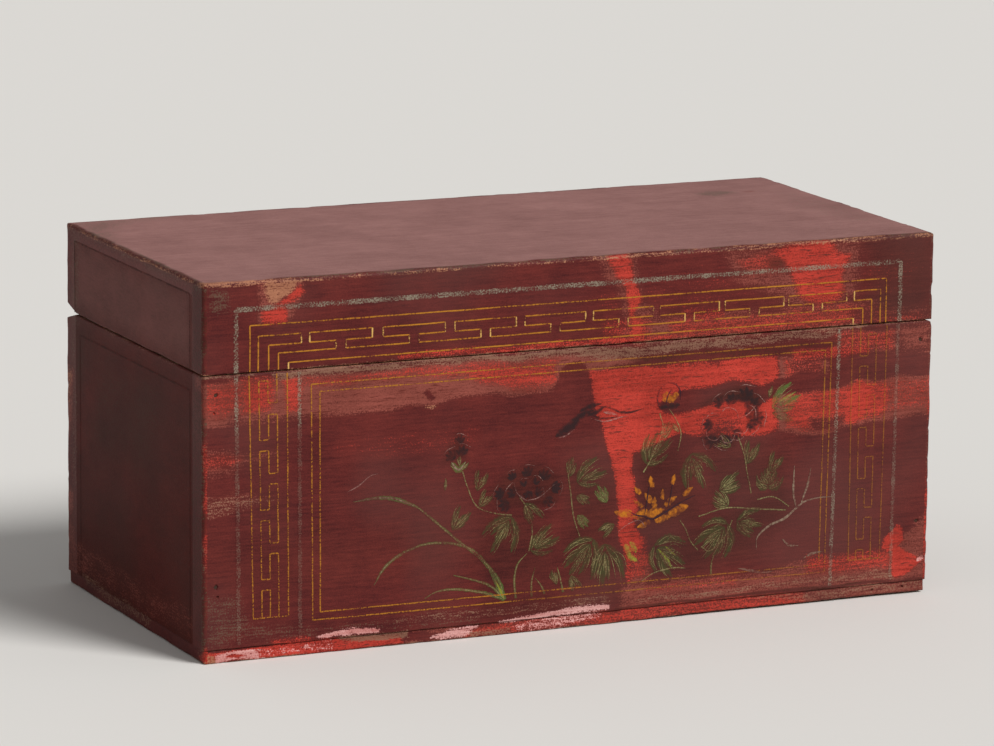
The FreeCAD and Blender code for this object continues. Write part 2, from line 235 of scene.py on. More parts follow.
def summed(
    tree: Tree,
    noise: Mapping[str, Node],
    shares: Sequence[tuple[str, float]],
    middle: float,
) -> Node:
    """Adds up shares of noises, so that the sum stays round a middle value.

    Args:
        tree: the node tree that gets the sums.
        noise: the noises by name.
        shares: how much of which noise goes in.
        middle: the value that the sum stays round.

    Returns:
        The node that gives the sum.
    """
    total: Any = middle - 0.5 * sum(share for _, share in shares)
    for key, share in shares:
        total = add_node(tree, "ShaderNodeMath", {"operation": "MULTIPLY_ADD"},
                         {0: noise[key], 1: share, 2: total})
    return total


def eased(value: np.ndarray, low: float, high: float) -> np.ndarray:
    """Smooth steps from 0 at low to 1 at high."""
    part = np.clip((value - low) / (high - low), 0, 1)
    return part * part * (3 - 2 * part)


def smooth_noise(points: np.ndarray, cell: Sequence[float], seed: int) -> np.ndarray:
    """Smooth random values that change over cells of a given size.

    Args:
        points: places, one row each.
        cell: size of a cell along each column of the places.
        seed: picks another set of values.

    Returns:
        A value from -1 to 1 for each place.
    """
    grid = points / np.asarray(cell, float)
    base = np.floor(grid).astype(np.int64)
    part = grid - base
    ease = part * part * (3 - 2 * part)
    primes = np.array(CELL_PRIMES[: points.shape[1]], np.int64)
    total = np.zeros(len(points))
    for corner in itertools.product((0, 1), repeat=points.shape[1]):
        mixed = ((base + np.array(corner)) * primes).sum(axis=1) + seed * SEED_PRIME
        mixed = (mixed ^ (mixed >> MIX_SHIFTS[0])) * MIX_PRIME
        mixed = (mixed ^ (mixed >> MIX_SHIFTS[1])) & NOISE_STEPS
        weight = np.where(corner, ease, 1 - ease).prod(axis=1)
        total += weight * (mixed / (NOISE_STEPS / 2) - 1)
    return total


def inside_by(points: np.ndarray, outline: Sequence[Point]) -> np.ndarray:
    """How far places lie inside an outline.

    Args:
        points: places on the outline's plane, one row each.
        outline: the corners of the closed outline.

    Returns:
        The distance to the outline, negative outside it.
    """
    corners = np.asarray(outline, float)
    nearest = np.full(len(points), np.inf)
    inside = np.zeros(len(points), bool)
    for start, end in zip(corners, np.roll(corners, -1, axis=0)):
        edge = end - start
        offset = points - start
        along = np.clip(offset @ edge / (edge @ edge), 0, 1)
        nearest = np.minimum(nearest, np.linalg.norm(offset - along[:, None] * edge, axis=1))
        spans = (start[1] > points[:, 1]) != (end[1] > points[:, 1])
        crossing = start[0] + offset[:, 1] * edge[0] / (edge[1] or 1.0)
        inside ^= spans & (points[:, 0] < crossing)
    return np.where(inside, nearest, -nearest)


def oblong(x: float, y: float, far_x: float, far_y: float) -> Path:
    """The outline of a rectangle that lies square on its side, from two opposite corners."""
    return (x, y), (far_x, y), (far_x, far_y), (x, far_y)


def mesh_of(name: str, points: np.ndarray, faces: Sequence[Sequence[int]]) -> Mesh:
    """Makes a mesh from places in millimetres.

    Args:
        name: name of the mesh.
        points: places, one row each.
        faces: corner numbers of each face.

    Returns:
        The new mesh, in metres.
    """
    mesh = bpy.data.meshes.new(name)
    mesh.from_pydata((np.asarray(points) * MM).tolist(), [], faces)
    mesh.update()
    return mesh


def piece_of(name: str, mesh: Mesh) -> Piece:
    """Puts a mesh in the scene as an object at the origin.

    Args:
        name: name of the object.
        mesh: its mesh.

    Returns:
        The new object.
    """
    piece = bpy.data.objects.new(name, mesh)
    bpy.context.scene.collection.objects.link(piece)
    return piece


def places_of(mesh: Mesh) -> np.ndarray:
    """The vertices of a mesh.

    Args:
        mesh: the mesh, in metres.

    Returns:
        The places in millimetres, one row each.
    """
    flat = np.empty(len(mesh.vertices) * 3)
    mesh.vertices.foreach_get("co", flat)
    return flat.reshape(-1, 3) / MM


def hardened(piece: Piece, modifier: bpy.types.Modifier) -> None:
    """Replaces a piece's mesh by what its modifier makes of it, and removes the modifier.

    Args:
        piece: the object.
        modifier: its only modifier.
    """
    graph = bpy.context.evaluated_depsgraph_get()
    made = bpy.data.meshes.new_from_object(piece.evaluated_get(graph))
    made.name = piece.name
    piece.modifiers.remove(modifier)
    piece.data = made


@dataclass(frozen=True)
class Worn:
    """A worn place on one side of the chest, drawn as an outline in that side's millimetres."""

    layer: Layer
    outline: Path
    strength: float
    soft: float


@dataclass(frozen=True)
class Rub:
    """Wear along a straight line on one side, such as an edge that hands and cloths pass over."""

    side: Side
    axis: int
    at: float
    layer: Layer
    width: float
    strength: float


@dataclass
class WearMap:
    """Where the lacquer of the closed chest is worn, on every side."""

    low: np.ndarray
    high: np.ndarray
    worn: Mapping[Side, Sequence[Worn]]
    rubs: Sequence[Rub]
    reach: float = 3.2
    drift: float = 1.7
    drift_mm: Point = (13.0, 7.0)
    drift_seeds: tuple[int, int] = (11, 12)
    clearing: float = 0.2
    patch_mm: float = 16.0
    patch_seed: int = 31
    crumb_mm: float = 5.0
    crumb_seed: int = 61
    crumb_share: float = 0.6
    rub_level: float = 0.75
    rub_patchy: float = 0.5

    def plane(self, side: Side) -> float:
        """Where a side's outermost face stands on its axis."""
        return float((self.low if side.way < 0 else self.high)[side.axis])

    def near(self, points: np.ndarray, side: Side) -> np.ndarray:
        """Which places lie within reach of a side's face."""
        return np.abs(points[:, side.axis] - self.plane(side)) < self.reach

    def layers(self, points: np.ndarray) -> np.ndarray:
        """Works out how much of each layer shows at each place.

        Args:
            points: places in millimetres, one row each.

        Returns:
            One row for each place and one column for each layer, from 0 to 1.
        """
        shown = np.zeros((len(points), len(LAYERS)))
        for side, zones in self.worn.items():
            on_side = self.near(points, side)
            flat = points[on_side][:, side.across]
            drift = [smooth_noise(flat, self.drift_mm, seed) for seed in self.drift_seeds]
            flat = flat + self.drift * np.stack(drift, axis=1)
            rows = shown[on_side]
            for zone in zones:
                cover = eased(inside_by(flat, zone.outline), -zone.soft, zone.soft)
                column = LAYERS.index(zone.layer)
                cleared = cover * min(1.0, zone.strength + self.clearing)
                rows[:, column + 1 : -1] *= (1 - cleared)[:, None]
                rows[:, column] = np.maximum(rows[:, column], cover * zone.strength)
            shown[on_side] = rows
        for number, rub in enumerate(self.rubs):
            on_side = self.near(points, rub.side)
            spots = points[on_side]
            away = np.abs(spots[:, rub.axis] - rub.at)
            patchy = smooth_noise(spots, (self.patch_mm,) * 3, self.patch_seed + number)
            patchy += self.crumb_share * smooth_noise(spots, (self.crumb_mm,) * 3, self.crumb_seed + number)
            uneven = self.rub_level + self.rub_patchy * patchy
            cover = rub.strength * np.exp(-((away / rub.width) ** 2)) * uneven
            column = LAYERS.index(rub.layer)
            rows = shown[on_side]
            rows[:, column] = np.maximum(rows[:, column], np.clip(cover, 0, 1))
            shown[on_side] = rows
        return shown

    def write(self, mesh: Mesh) -> None:
        """Writes the layers on a mesh as vertex attributes.

        Args:
            mesh: the finished mesh of a piece.
        """
        shown = self.layers(places_of(mesh))
        for column, layer in enumerate(LAYERS):
            attribute = mesh.attributes.new(layer.value, "FLOAT", "POINT")
            attribute.data.foreach_set("value", shown[:, column].astype(np.float32))


@dataclass(frozen=True)
class Coat:
    """The two shades that one layer of the surface is streaked with."""

    deep: str
    light: str

    def streaked(self, tree: Tree, tone: Any) -> Socket:
        """The coat's colour, from deep to light as the tone goes from 0 to 1."""
        return layered(tree, linear(self.deep), (tone, linear(self.light)))


class Finish(ABC):
    """A finish that is made into one material, however many pieces have it."""

    name: str

    @abstractmethod
    def skin(self, tree: Tree) -> dict[str, Any]:
        """Adds the finish's own nodes.

        Args:
            tree: the material's node tree.

        Returns:
            The shader's sockets by name, each with its value or what feeds it.
        """

    def material(self) -> Material:
        """Makes the finish into a material, once.

        Returns:
            The material.
        """
        if self.name not in bpy.data.materials:
            made = bpy.data.materials.new(self.name)
            made.use_nodes = True
            tree = made.node_tree
            tree.nodes.clear()
            shader = add_node(tree, "ShaderNodeBsdfPrincipled", inputs=self.skin(tree))
            add_node(tree, "ShaderNodeOutputMaterial", inputs={"Surface": shader})
        return bpy.data.materials[self.name]


@dataclass(frozen=True)
class Lacquer(Finish):
    """Old red lacquer under dark varnish: a dull brushed shine, worn through in ragged, streaked places."""

    name: str
    grain_mm: Triple
    fleck_mm: Triple
    varnish: Coat = Coat("#471b1c", "#702e29")
    haze: str = "#5f3733"
    haze_span: Point = (0.48, 0.68)
    haze_most: float = 0.6
    coats: tuple[tuple[Layer, Coat, float], ...] = (
        # The faded coat is partly real fading and dust, partly a painted sheen and painted light.
        (FADED, Coat("#835853", "#a1726c"), 1.0),
        (ROSE, Coat("#68322a", "#9a5247"), 0.92),
        (RED, Coat("#82281f", "#d6483b"), 0.92),
        (SOOT, Coat("#331d16", "#4a271e"), 0.85),
        (GRIME, Coat("#4a3a2e", "#6c5a4a"), 0.7),
        (BARE, Coat("#6a4436", "#956e5a"), 0.88),
        (TAN, Coat("#7e4c38", "#bd8263"), 0.88),
        (CHIP, Coat("#b0625c", "#e6b4ae"), 0.95),
        (SHADE, Coat("#21150f", "#33231a"), 0.85),
    )
    smooth: tuple[Layer, ...] = (FADED, SHADE)
    flecked: tuple[Layer, ...] = (ROSE, RED)
    fleck: str = "#642c25"
    fleck_span: Point = (0.55, 0.68)
    halo: float = 0.6
    halo_span: Point = (0.1, 0.8)
    ragged_from: float = 0.25
    tone_shares: tuple[tuple[str, float], ...] = (
        ("mottle", 1.3), ("streak", 1.0), ("short", 0.9), ("speck", 0.9))
    grit_shares: tuple[tuple[str, float], ...] = (("streak", 0.8), ("short", 1.2), ("speck", 1.7))
    speck_mm: float = 0.9
    mottle_mm: float = 34.0
    cloud_mm: float = 120.0
    crispness: float = 0.6
    edge: float = 0.16
    dull: float = 0.5
    gloss: float = 0.08
    ior: float = 1.5
    relief: float = 0.5
    relief_mm: float = 0.12

    def ground(self) -> Tree:
        """Builds the node group of the bare surface, once for each grain.

        Returns:
            A group that gives the surface's colour and height from its worn layers.
        """
        name = f"{self.name}_ground"
        if name in bpy.data.node_groups:
            return bpy.data.node_groups[name]
        tree = bpy.data.node_groups.new(name, "ShaderNodeTree")
        tree.interface.new_socket("Colour", in_out="OUTPUT", socket_type="NodeSocketColor")
        tree.interface.new_socket("Height", in_out="OUTPUT", socket_type="NodeSocketFloat")
        place = add_node(tree, "ShaderNodeTexCoord").outputs["Object"]
        noise = {}
        for key, cell, detail in (
            ("streak", self.grain_mm, 4.0),
            ("short", self.fleck_mm, 3.0),
            ("speck", (self.speck_mm,) * 3, 2.0),
            ("mottle", (self.mottle_mm,) * 3, 4.0),
            ("cloud", (self.cloud_mm,) * 3, 2.0),
        ):
            scaled = add_node(tree, "ShaderNodeMapping",
                              inputs={"Vector": place, "Scale": [1 / (MM * size) for size in cell]})
            noise[key] = add_node(tree, "ShaderNodeTexNoise",
                                  inputs={"Vector": scaled, "Scale": 1.0, "Detail": detail,
                                          "Roughness": self.crispness})
        tone = summed(tree, noise, self.tone_shares, 0.5)
        grit = summed(tree, noise, self.grit_shares, 0.0)
        hazy, flecks = (
            add_node(tree, "ShaderNodeMapRange",
                     inputs={"Value": noise[key], "From Min": low, "From Max": high, "To Max": most})
            for key, (low, high), most in (
                ("cloud", self.haze_span, self.haze_most),
                ("short", self.fleck_span, 1.0),
            )
        )
        colour = layered(tree, self.varnish.streaked(tree, tone), (hazy, linear(self.haze)))
        for layer, coat, opacity in self.coats:
            amount = add_node(tree, "ShaderNodeAttribute", {"attribute_name": layer.value}).outputs["Fac"]
            near = add_node(tree, "ShaderNodeMapRange", inputs={"Value": amount, "From Max": self.ragged_from})
            ragged = add_node(tree, "ShaderNodeMath", {"operation": "MULTIPLY_ADD"},
                              {0: near, 1: grit, 2: amount})
            smooth = layer in self.smooth
            mask = add_node(tree, "ShaderNodeMapRange",
                            inputs={"Value": amount if smooth else ragged,
                                    "From Min": 0.0 if smooth else 0.5 - self.edge,
                                    "From Max": 1.0 if smooth else 0.5 + self.edge, "To Max": opacity})
            own = coat.streaked(tree, tone)
            if layer in self.flecked:
                own = layered(tree, own, (flecks, linear(self.fleck)))
                low, high = self.halo_span
                halo = add_node(tree, "ShaderNodeMapRange",
                                inputs={"Value": amount, "From Min": low, "From Max": high,
                                        "To Max": self.halo})
                colour = layered(tree, colour, (halo, linear(coat.deep)))
            colour = layered(tree, colour, (mask, own))
        add_node(tree, "NodeGroupOutput", inputs={"Colour": colour, "Height": grit})
        return tree

    def skin(self, tree: Tree) -> dict[str, Any]:
        """Joins the worn ground to the shader, with its low relief."""
        ground = add_node(tree, "ShaderNodeGroup", {"node_tree": self.ground()})
        bump = add_node(tree, "ShaderNodeBump",
                        inputs={"Strength": self.relief, "Distance": self.relief_mm * MM,
                                "Height": ground.outputs["Height"]})
        return {"Base Color": ground.outputs["Colour"], "Roughness": self.dull, "IOR": self.ior,
                "Specular IOR Level": self.gloss, "Normal": bump}


@dataclass(frozen=True)
class Paint(Finish):
    """Thin hand-laid paint on the lacquer: matt, broken by specks where it is rubbed off."""

    name: str
    coat: Coat
    coverage: float
    lacquer: Lacquer
    grit_mm: float = 1.2
    patch_mm: float = 15.0
    breakup: float = 1.3
    patchy: float = 0.9
    soft: float = 0.15
    opacity: float = 0.92
    edge: float = 0.16
    fade: float = 0.85
    dull: float = 0.55

    def skin(self, tree: Tree) -> dict[str, Any]:
        """Lays the paint over its lacquer, thinner towards the sides of a stroke and where it is lost."""
        place = add_node(tree, "ShaderNodeTexCoord").outputs["Object"]
        ground = add_node(tree, "ShaderNodeGroup", {"node_tree": self.lacquer.ground()})
        noise = {}
        for key, size in (("grit", self.grit_mm), ("patch", self.patch_mm)):
            noise[key] = add_node(tree, "ShaderNodeTexNoise",
                                  inputs={"Vector": place, "Scale": 1 / (MM * size), "Detail": 2.0})
        laid = summed(tree, noise, (("grit", self.breakup), ("patch", self.patchy)), self.coverage)
        lost, across = (
            add_node(tree, "ShaderNodeAttribute", {"attribute_name": name}).outputs["Fac"]
            for name in (LOST.value, "across")
        )
        kept = add_node(tree, "ShaderNodeMath", {"operation": "MULTIPLY_ADD"}, {0: lost, 1: -self.fade, 2: 1.0})
        away = add_node(tree, "ShaderNodeMath", {"operation": "POWER"}, {0: across, 1: 2.0})
        feathered = add_node(tree, "ShaderNodeMath", {"operation": "MULTIPLY_ADD"},
                             {0: away, 1: -self.soft, 2: laid})
        mask = add_node(tree, "ShaderNodeMapRange",
                        inputs={"Value": feathered, "From Min": 0.5 - self.edge, "From Max": 0.5 + self.edge,
                                "To Max": self.opacity})
        shown = add_node(tree, "ShaderNodeMath", {"operation": "MULTIPLY"}, {0: mask, 1: kept})
        colour = layered(tree, ground.outputs["Colour"], (shown, self.coat.streaked(tree, laid)))
        return {"Base Color": colour, "Roughness": self.dull, "Specular IOR Level": self.lacquer.gloss}


@dataclass(frozen=True)
class BareWood(Finish):
    """Unfinished softwood gone brown with age: dry and matt, with fine long grain."""

    name: str
    grain_mm: Triple
    coat: Coat = Coat("#5b4130", "#9a7b5a")
    fibre_span: Point = (0.3, 0.7)
    pore: str = "#46301f"
    pore_share: Point = (0.14, 0.24)
    pore_span: Point = (0.54, 0.70)
    pore_most: float = 0.6
    stain: str = "#64452f"
    stain_mm: float = 70.0
    stain_span: Point = (0.46, 0.62)
    stain_most: float = 0.55
    dull: float = 0.8
    ior: float = 1.5
    relief: float = 0.4
    relief_mm: float = 0.2

    def skin(self, tree: Tree) -> dict[str, Any]:
        """Draws the grain, with its dark pores and old stains."""
        place = add_node(tree, "ShaderNodeTexCoord").outputs["Object"]
        along, across = self.pore_share
        dashes = [size * (along if size == max(self.grain_mm) else across) for size in self.grain_mm]
        noises, marks = [], []
        for cell, detail, crispness, (low, high), most in (
            (self.grain_mm, 6.0, 0.65, self.fibre_span, 1.0),
            (dashes, 3.0, 0.5, self.pore_span, self.pore_most),
            ((self.stain_mm,) * 3, 3.0, 0.5, self.stain_span, self.stain_most),
        ):
            scaled = add_node(tree, "ShaderNodeMapping",
                              inputs={"Vector": place, "Scale": [1 / (MM * size) for size in cell]})
            noises.append(add_node(tree, "ShaderNodeTexNoise",
                                   inputs={"Vector": scaled, "Scale": 1.0, "Detail": detail,
                                           "Roughness": crispness}))
            marks.append(add_node(tree, "ShaderNodeMapRange",
                                  inputs={"Value": noises[-1], "From Min": low, "From Max": high,
                                          "To Max": most}))
        grain, pores, stains = marks
        colour = layered(tree, self.coat.streaked(tree, grain), (pores, linear(self.pore)),
                         (stains, linear(self.stain)))
        bump = add_node(tree, "ShaderNodeBump",
                        inputs={"Strength": self.relief, "Distance": self.relief_mm * MM, "Height": noises[0]})
        return {"Base Color": colour, "Roughness": self.dull, "IOR": self.ior, "Normal": bump}


@dataclass(frozen=True)
class ForgedIron(Finish):
    """Hand-forged iron under a skin of brown rust: dark, rough and barely metallic."""

    name: str
    coat: Coat = Coat("#1e1613", "#5c3a28")
    rust_mm: float = 1.6
    dull: float = 0.7
    metal: float = 0.4

    def skin(self, tree: Tree) -> dict[str, Any]:
        """Mottles the iron with rust."""
        place = add_node(tree, "ShaderNodeTexCoord").outputs["Object"]
        rust = add_node(tree, "ShaderNodeTexNoise",
                        inputs={"Vector": place, "Scale": 1 / (MM * self.rust_mm), "Detail": 4.0})
        return {"Base Color": self.coat.streaked(tree, rust), "Roughness": self.dull, "Metallic": self.metal}


@dataclass(frozen=True)
class Arris:
    """An edge where two sides of a board meet, eased to about a radius."""

    first: Side
    second: Side
    radius: float


@dataclass(frozen=True)
class Pit:
    """A small sunk hole on the front, over a nail or left by one."""

    x: float
    z: float
    radius: float
    depth: float


@dataclass(frozen=True)
class Slope:
    """A long edge planed off towards the back, so that the lid can swing: the side it is on and its drop."""

    side: Side
    drop: float


@dataclass
class Board:
    """One board as a closed skin: worn arrises, lacquer outside and bare wood inside."""

    node: str
    body: Body
    lacquered: tuple[Side, ...]
    arrises: tuple[Arris, ...]
    lacquer: Lacquer
    wood: BareWood
    step: Triple
    pits: tuple[Pit, ...] = ()
    slope: Optional[Slope] = None
    notches: tuple[Vector, ...] = ()
    notch_radius: float = 4.1
    notch_width: float = 3.6
    notch_sides: int = 32
    edge_lines: tuple[float, ...] = (0.0, 0.35, 0.75, 1.2, 1.7, 2.3, 3.0, 4.0)
    pit_lines: tuple[float, ...] = (-1.3, -0.9, -0.5, 0.0, 0.5, 0.9, 1.3)
    pit_span: Point = (0.45, 1.05)
    pit_ragged: Point = (0.25, 1.1)
    pit_seed: int = 5
    front_depth: float = 0.5
    waves: tuple[Point, Point] = ((0.28, 22.0), (0.2, 6.0))
    nick: float = 0.5
    nick_mm: float = 4.5
    nick_span: Point = (0.55, 0.95)
    warp: float = 0.0
    warp_run: Point = (-60.0, 130.0)
    warp_back: float = 40.0
    warp_wave: Point = (0.25, 26.0)
    warp_seed: int = 41
    crease_deg: float = 38.0
    facing_least: float = 0.1

    def corners(self) -> tuple[np.ndarray, np.ndarray]:
        """The board's box in the frame, with the lacquered sides set back to leave room for paint.

        Returns:
            The lowest and the highest corner.
        """
        low, high = (np.array(corner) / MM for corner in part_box(self.node))
        for side in self.lacquered:
            if side.way < 0:
                low[side.axis] += PAINT_ROOM
            else:
                high[side.axis] -= PAINT_ROOM
        return low, high

    def lines(self, axis: int, low: float, high: float) -> np.ndarray:
        """Grid lines along one axis, close together at the ends and around the pits.

        Args:
            axis: the axis that the lines are spaced along.
            low: where the board starts.
            high: where the board ends.

        Returns:
            The places of the lines, in order.
        """
        edge = np.array(self.edge_lines)
        edge = edge[edge < (high - low) / 2]
        count = max(2, int((high - low) / self.step[axis]))
        inner = np.linspace(low + edge[-1], high - edge[-1], count)
        marks = [low + edge, inner, high - edge]
        for pit in self.pits:
            if axis != Side.FRONT.axis:
                middle = pit.x if axis == 0 else pit.z
                marks.append(middle + pit.radius * np.array(self.pit_lines))
        return np.unique(np.concatenate(marks).round(3))

    def shell(self) -> tuple[np.ndarray, np.ndarray]:
        """Makes the closed grid of the board's box.

        Returns:
            The places of the vertices, and the corner numbers of the faces.
        """
        low, high = self.corners()
        lines = [self.lines(axis, low[axis], high[axis]) for axis in range(3)]
        outer = np.zeros([len(line) for line in lines], bool)
        for axis in range(3):
            for end in (0, -1):
                outer[(slice(None),) * axis + (end,)] = True
        number = np.full(outer.shape, -1)
        number[outer] = np.arange(outer.sum())
        where = np.argwhere(outer)
        points = np.stack([lines[axis][where[:, axis]] for axis in range(3)], axis=1)
        faces = []
        for axis, end in itertools.product(range(3), (0, -1)):
            sheet = np.take(number, end, axis=axis)
            ring = [sheet[:-1, :-1], sheet[1:, :-1], sheet[1:, 1:], sheet[:-1, 1:]]
            quads = np.stack(ring, axis=-1).reshape(-1, 4)
            faces.append(quads if (end == -1) != (axis == 1) else quads[:, ::-1])
        return points, np.concatenate(faces)

    def ease(self, points: np.ndarray, arris: Arris) -> np.ndarray:
        """Rounds one arris, more in some places than in others.

        Args:
            points: places of the board's vertices.
            arris: the edge to round.

        Returns:
            The places with those near the edge pulled in.
        """
        low, high = self.corners()
        sides = (arris.first, arris.second)
        along = 3 - arris.first.axis - arris.second.axis
        depth = [side.way * ((high if side.way > 0 else low)[side.axis] - points[:, side.axis])
                 for side in sides]
        run = points[:, [along]]
        seed = 100 + 7 * arris.first.axis + 3 * arris.second.axis + arris.first.way + 2 * arris.second.way
        (slow, slow_mm), (quick, quick_mm) = self.waves
        wave = slow * smooth_noise(run, (slow_mm,), seed) + quick * smooth_noise(run, (quick_mm,), seed + 1)
        nick = eased(smooth_noise(run, (self.nick_mm,), seed + 2), *self.nick_span) * self.nick
        radius = np.minimum(arris.radius * (1 + wave + nick), self.edge_lines[-1])
        over = [np.minimum(each - radius, 0) for each in depth]
        reach = np.hypot(*over)
        both = (over[0] < 0) & (over[1] < 0) & (reach > 0)
        pull = np.minimum(np.where(both, radius / np.maximum(reach, 1e-9), 1), 1)
        eased_points = points.copy()
        for side, each, inner in zip(sides, depth, over):
            moved = np.where(both, radius + inner * pull, each)
            eased_points[:, side.axis] += side.way * (each - moved)
        return eased_points

    def bored(self, points: np.ndarray) -> np.ndarray:
        """Sinks the pits into the front.

        Args:
            points: places of the board's vertices.

        Returns:
            The places with those in the pits pushed back.
        """
        uneven, cell = self.pit_ragged
        floor, brim = self.pit_span
        low, _ = self.corners()
        on_front = points[:, 1] < low[1] + self.front_depth
        sunk = points.copy()
        for pit in self.pits:
            away = np.hypot(points[:, 0] - pit.x, points[:, 2] - pit.z)
            ragged = 1 + uneven * smooth_noise(points[:, [0, 2]], (cell, cell), self.pit_seed)
            depth = pit.depth * (1 - eased(away / ragged, floor * pit.radius, brim * pit.radius))
            sunk[:, 1] += np.where(on_front, depth, 0)
        return sunk

    def planed(self, points: np.ndarray) -> np.ndarray:
        """Planes the sloped edge off towards the back.

        Args:
            points: places of the board's vertices.

        Returns:
            The places with the edge sloped.
        """
        low, high = self.corners()
        share = (points[:, 1] - low[1]) / (high[1] - low[1])
        height = high[2] - low[2]
        cut = points.copy()
        if self.slope.side is Side.TOP:
            cut[:, 2] = low[2] + (points[:, 2] - low[2]) * (1 - share * self.slope.drop / height)
        else:
            cut[:, 2] = high[2] - (high[2] - points[:, 2]) * (1 - share * self.slope.drop / height)
        return cut

    def warped(self, points: np.ndarray) -> np.ndarray:
        """Lifts the underside towards the front and right, as a board that has cupped with age.

        Args:
            points: places of the board's vertices.

        Returns:
            The places with the underside lifted.
        """
        low, high = self.corners()
        run = eased(points[:, 0], *self.warp_run) * (1 - eased(points[:, 1], low[1], high[1] - self.warp_back))
        uneven, cell = self.warp_wave
        wave = 1 + uneven * smooth_noise(points[:, [0]], (cell,), self.warp_seed)
        lifted = points.copy()
        lifted[:, 2] += self.warp * run * wave * (high[2] - points[:, 2]) / (high[2] - low[2])
        return lifted

    def notch(self, piece: Piece) -> None:
        """Cuts the round notches that the hinge eyes turn in.

        Args:
            piece: the board.
        """
        for centre in self.notches:
            form = bmesh.new()
            turn = Matrix.Rotation(math.radians(90), 4, "Y")
            radius = self.notch_radius * MM
            bmesh.ops.create_cone(form, cap_ends=True, segments=self.notch_sides, radius1=radius,
                                  radius2=radius, depth=self.notch_width * MM,
                                  matrix=Matrix.Translation(centre * MM) @ turn)
            mesh = bpy.data.meshes.new("notch_cutter")
            form.to_mesh(mesh)
            form.free()
            cutter = piece_of("notch_cutter", mesh)
            cut = piece.modifiers.new("notch", "BOOLEAN")
            cut.object = cutter
            cut.solver = "EXACT"
            hardened(piece, cut)
            bpy.data.objects.remove(cutter)

    def clad(self, mesh: Mesh) -> None:
        """Gives the faces on lacquered sides the lacquer, and the others the bare wood.

        Args:
            mesh: the board's mesh.
        """
        mesh.materials.clear()
        mesh.materials.append(self.lacquer.material())
        mesh.materials.append(self.wood.material())
        low, high = self.corners()
        count = len(mesh.polygons)
        centres = np.empty(count * 3)
        normals = np.empty(count * 3)
        mesh.polygons.foreach_get("center", centres)
        mesh.polygons.foreach_get("normal", normals)
        centres = centres.reshape(-1, 3) / MM
        normals = normals.reshape(-1, 3)
        bare = np.ones(count, bool)
        for side in self.lacquered:
            plane = (low if side.way < 0 else high)[side.axis]
            close = np.abs(centres[:, side.axis] - plane) < self.edge_lines[-1]
            bare &= ~(close & (normals[:, side.axis] * side.way > self.facing_least))
        mesh.polygons.foreach_set("material_index", bare.astype(np.int32))
        mesh.polygons.foreach_set("use_smooth", np.ones(count, bool))
        mesh.set_sharp_from_angle(angle=math.radians(self.crease_deg))

    def build(self, wear: WearMap) -> Piece:
        """Makes the board, wears it and puts it in the CAD board's place.

        Args:
            wear: where the lacquer is worn.

        Returns:
            The finished piece.
        """
        points, faces = self.shell()
        for arris in self.arrises:
            points = self.ease(points, arris)
        if self.pits:
            points = self.bored(points)
        if self.slope:
            points = self.planed(points)
        if self.warp:
            points = self.warped(points)
        piece = piece_of(f"{self.node}_skin", mesh_of(self.node, points, faces.tolist()))
        self.notch(piece)
        self.clad(piece.data)
        wear.write(piece.data)
        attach(piece, self.body.value)
        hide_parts(self.node)
        LOG.info("board %s: %d faces", self.node, len(piece.data.polygons))
        return piece


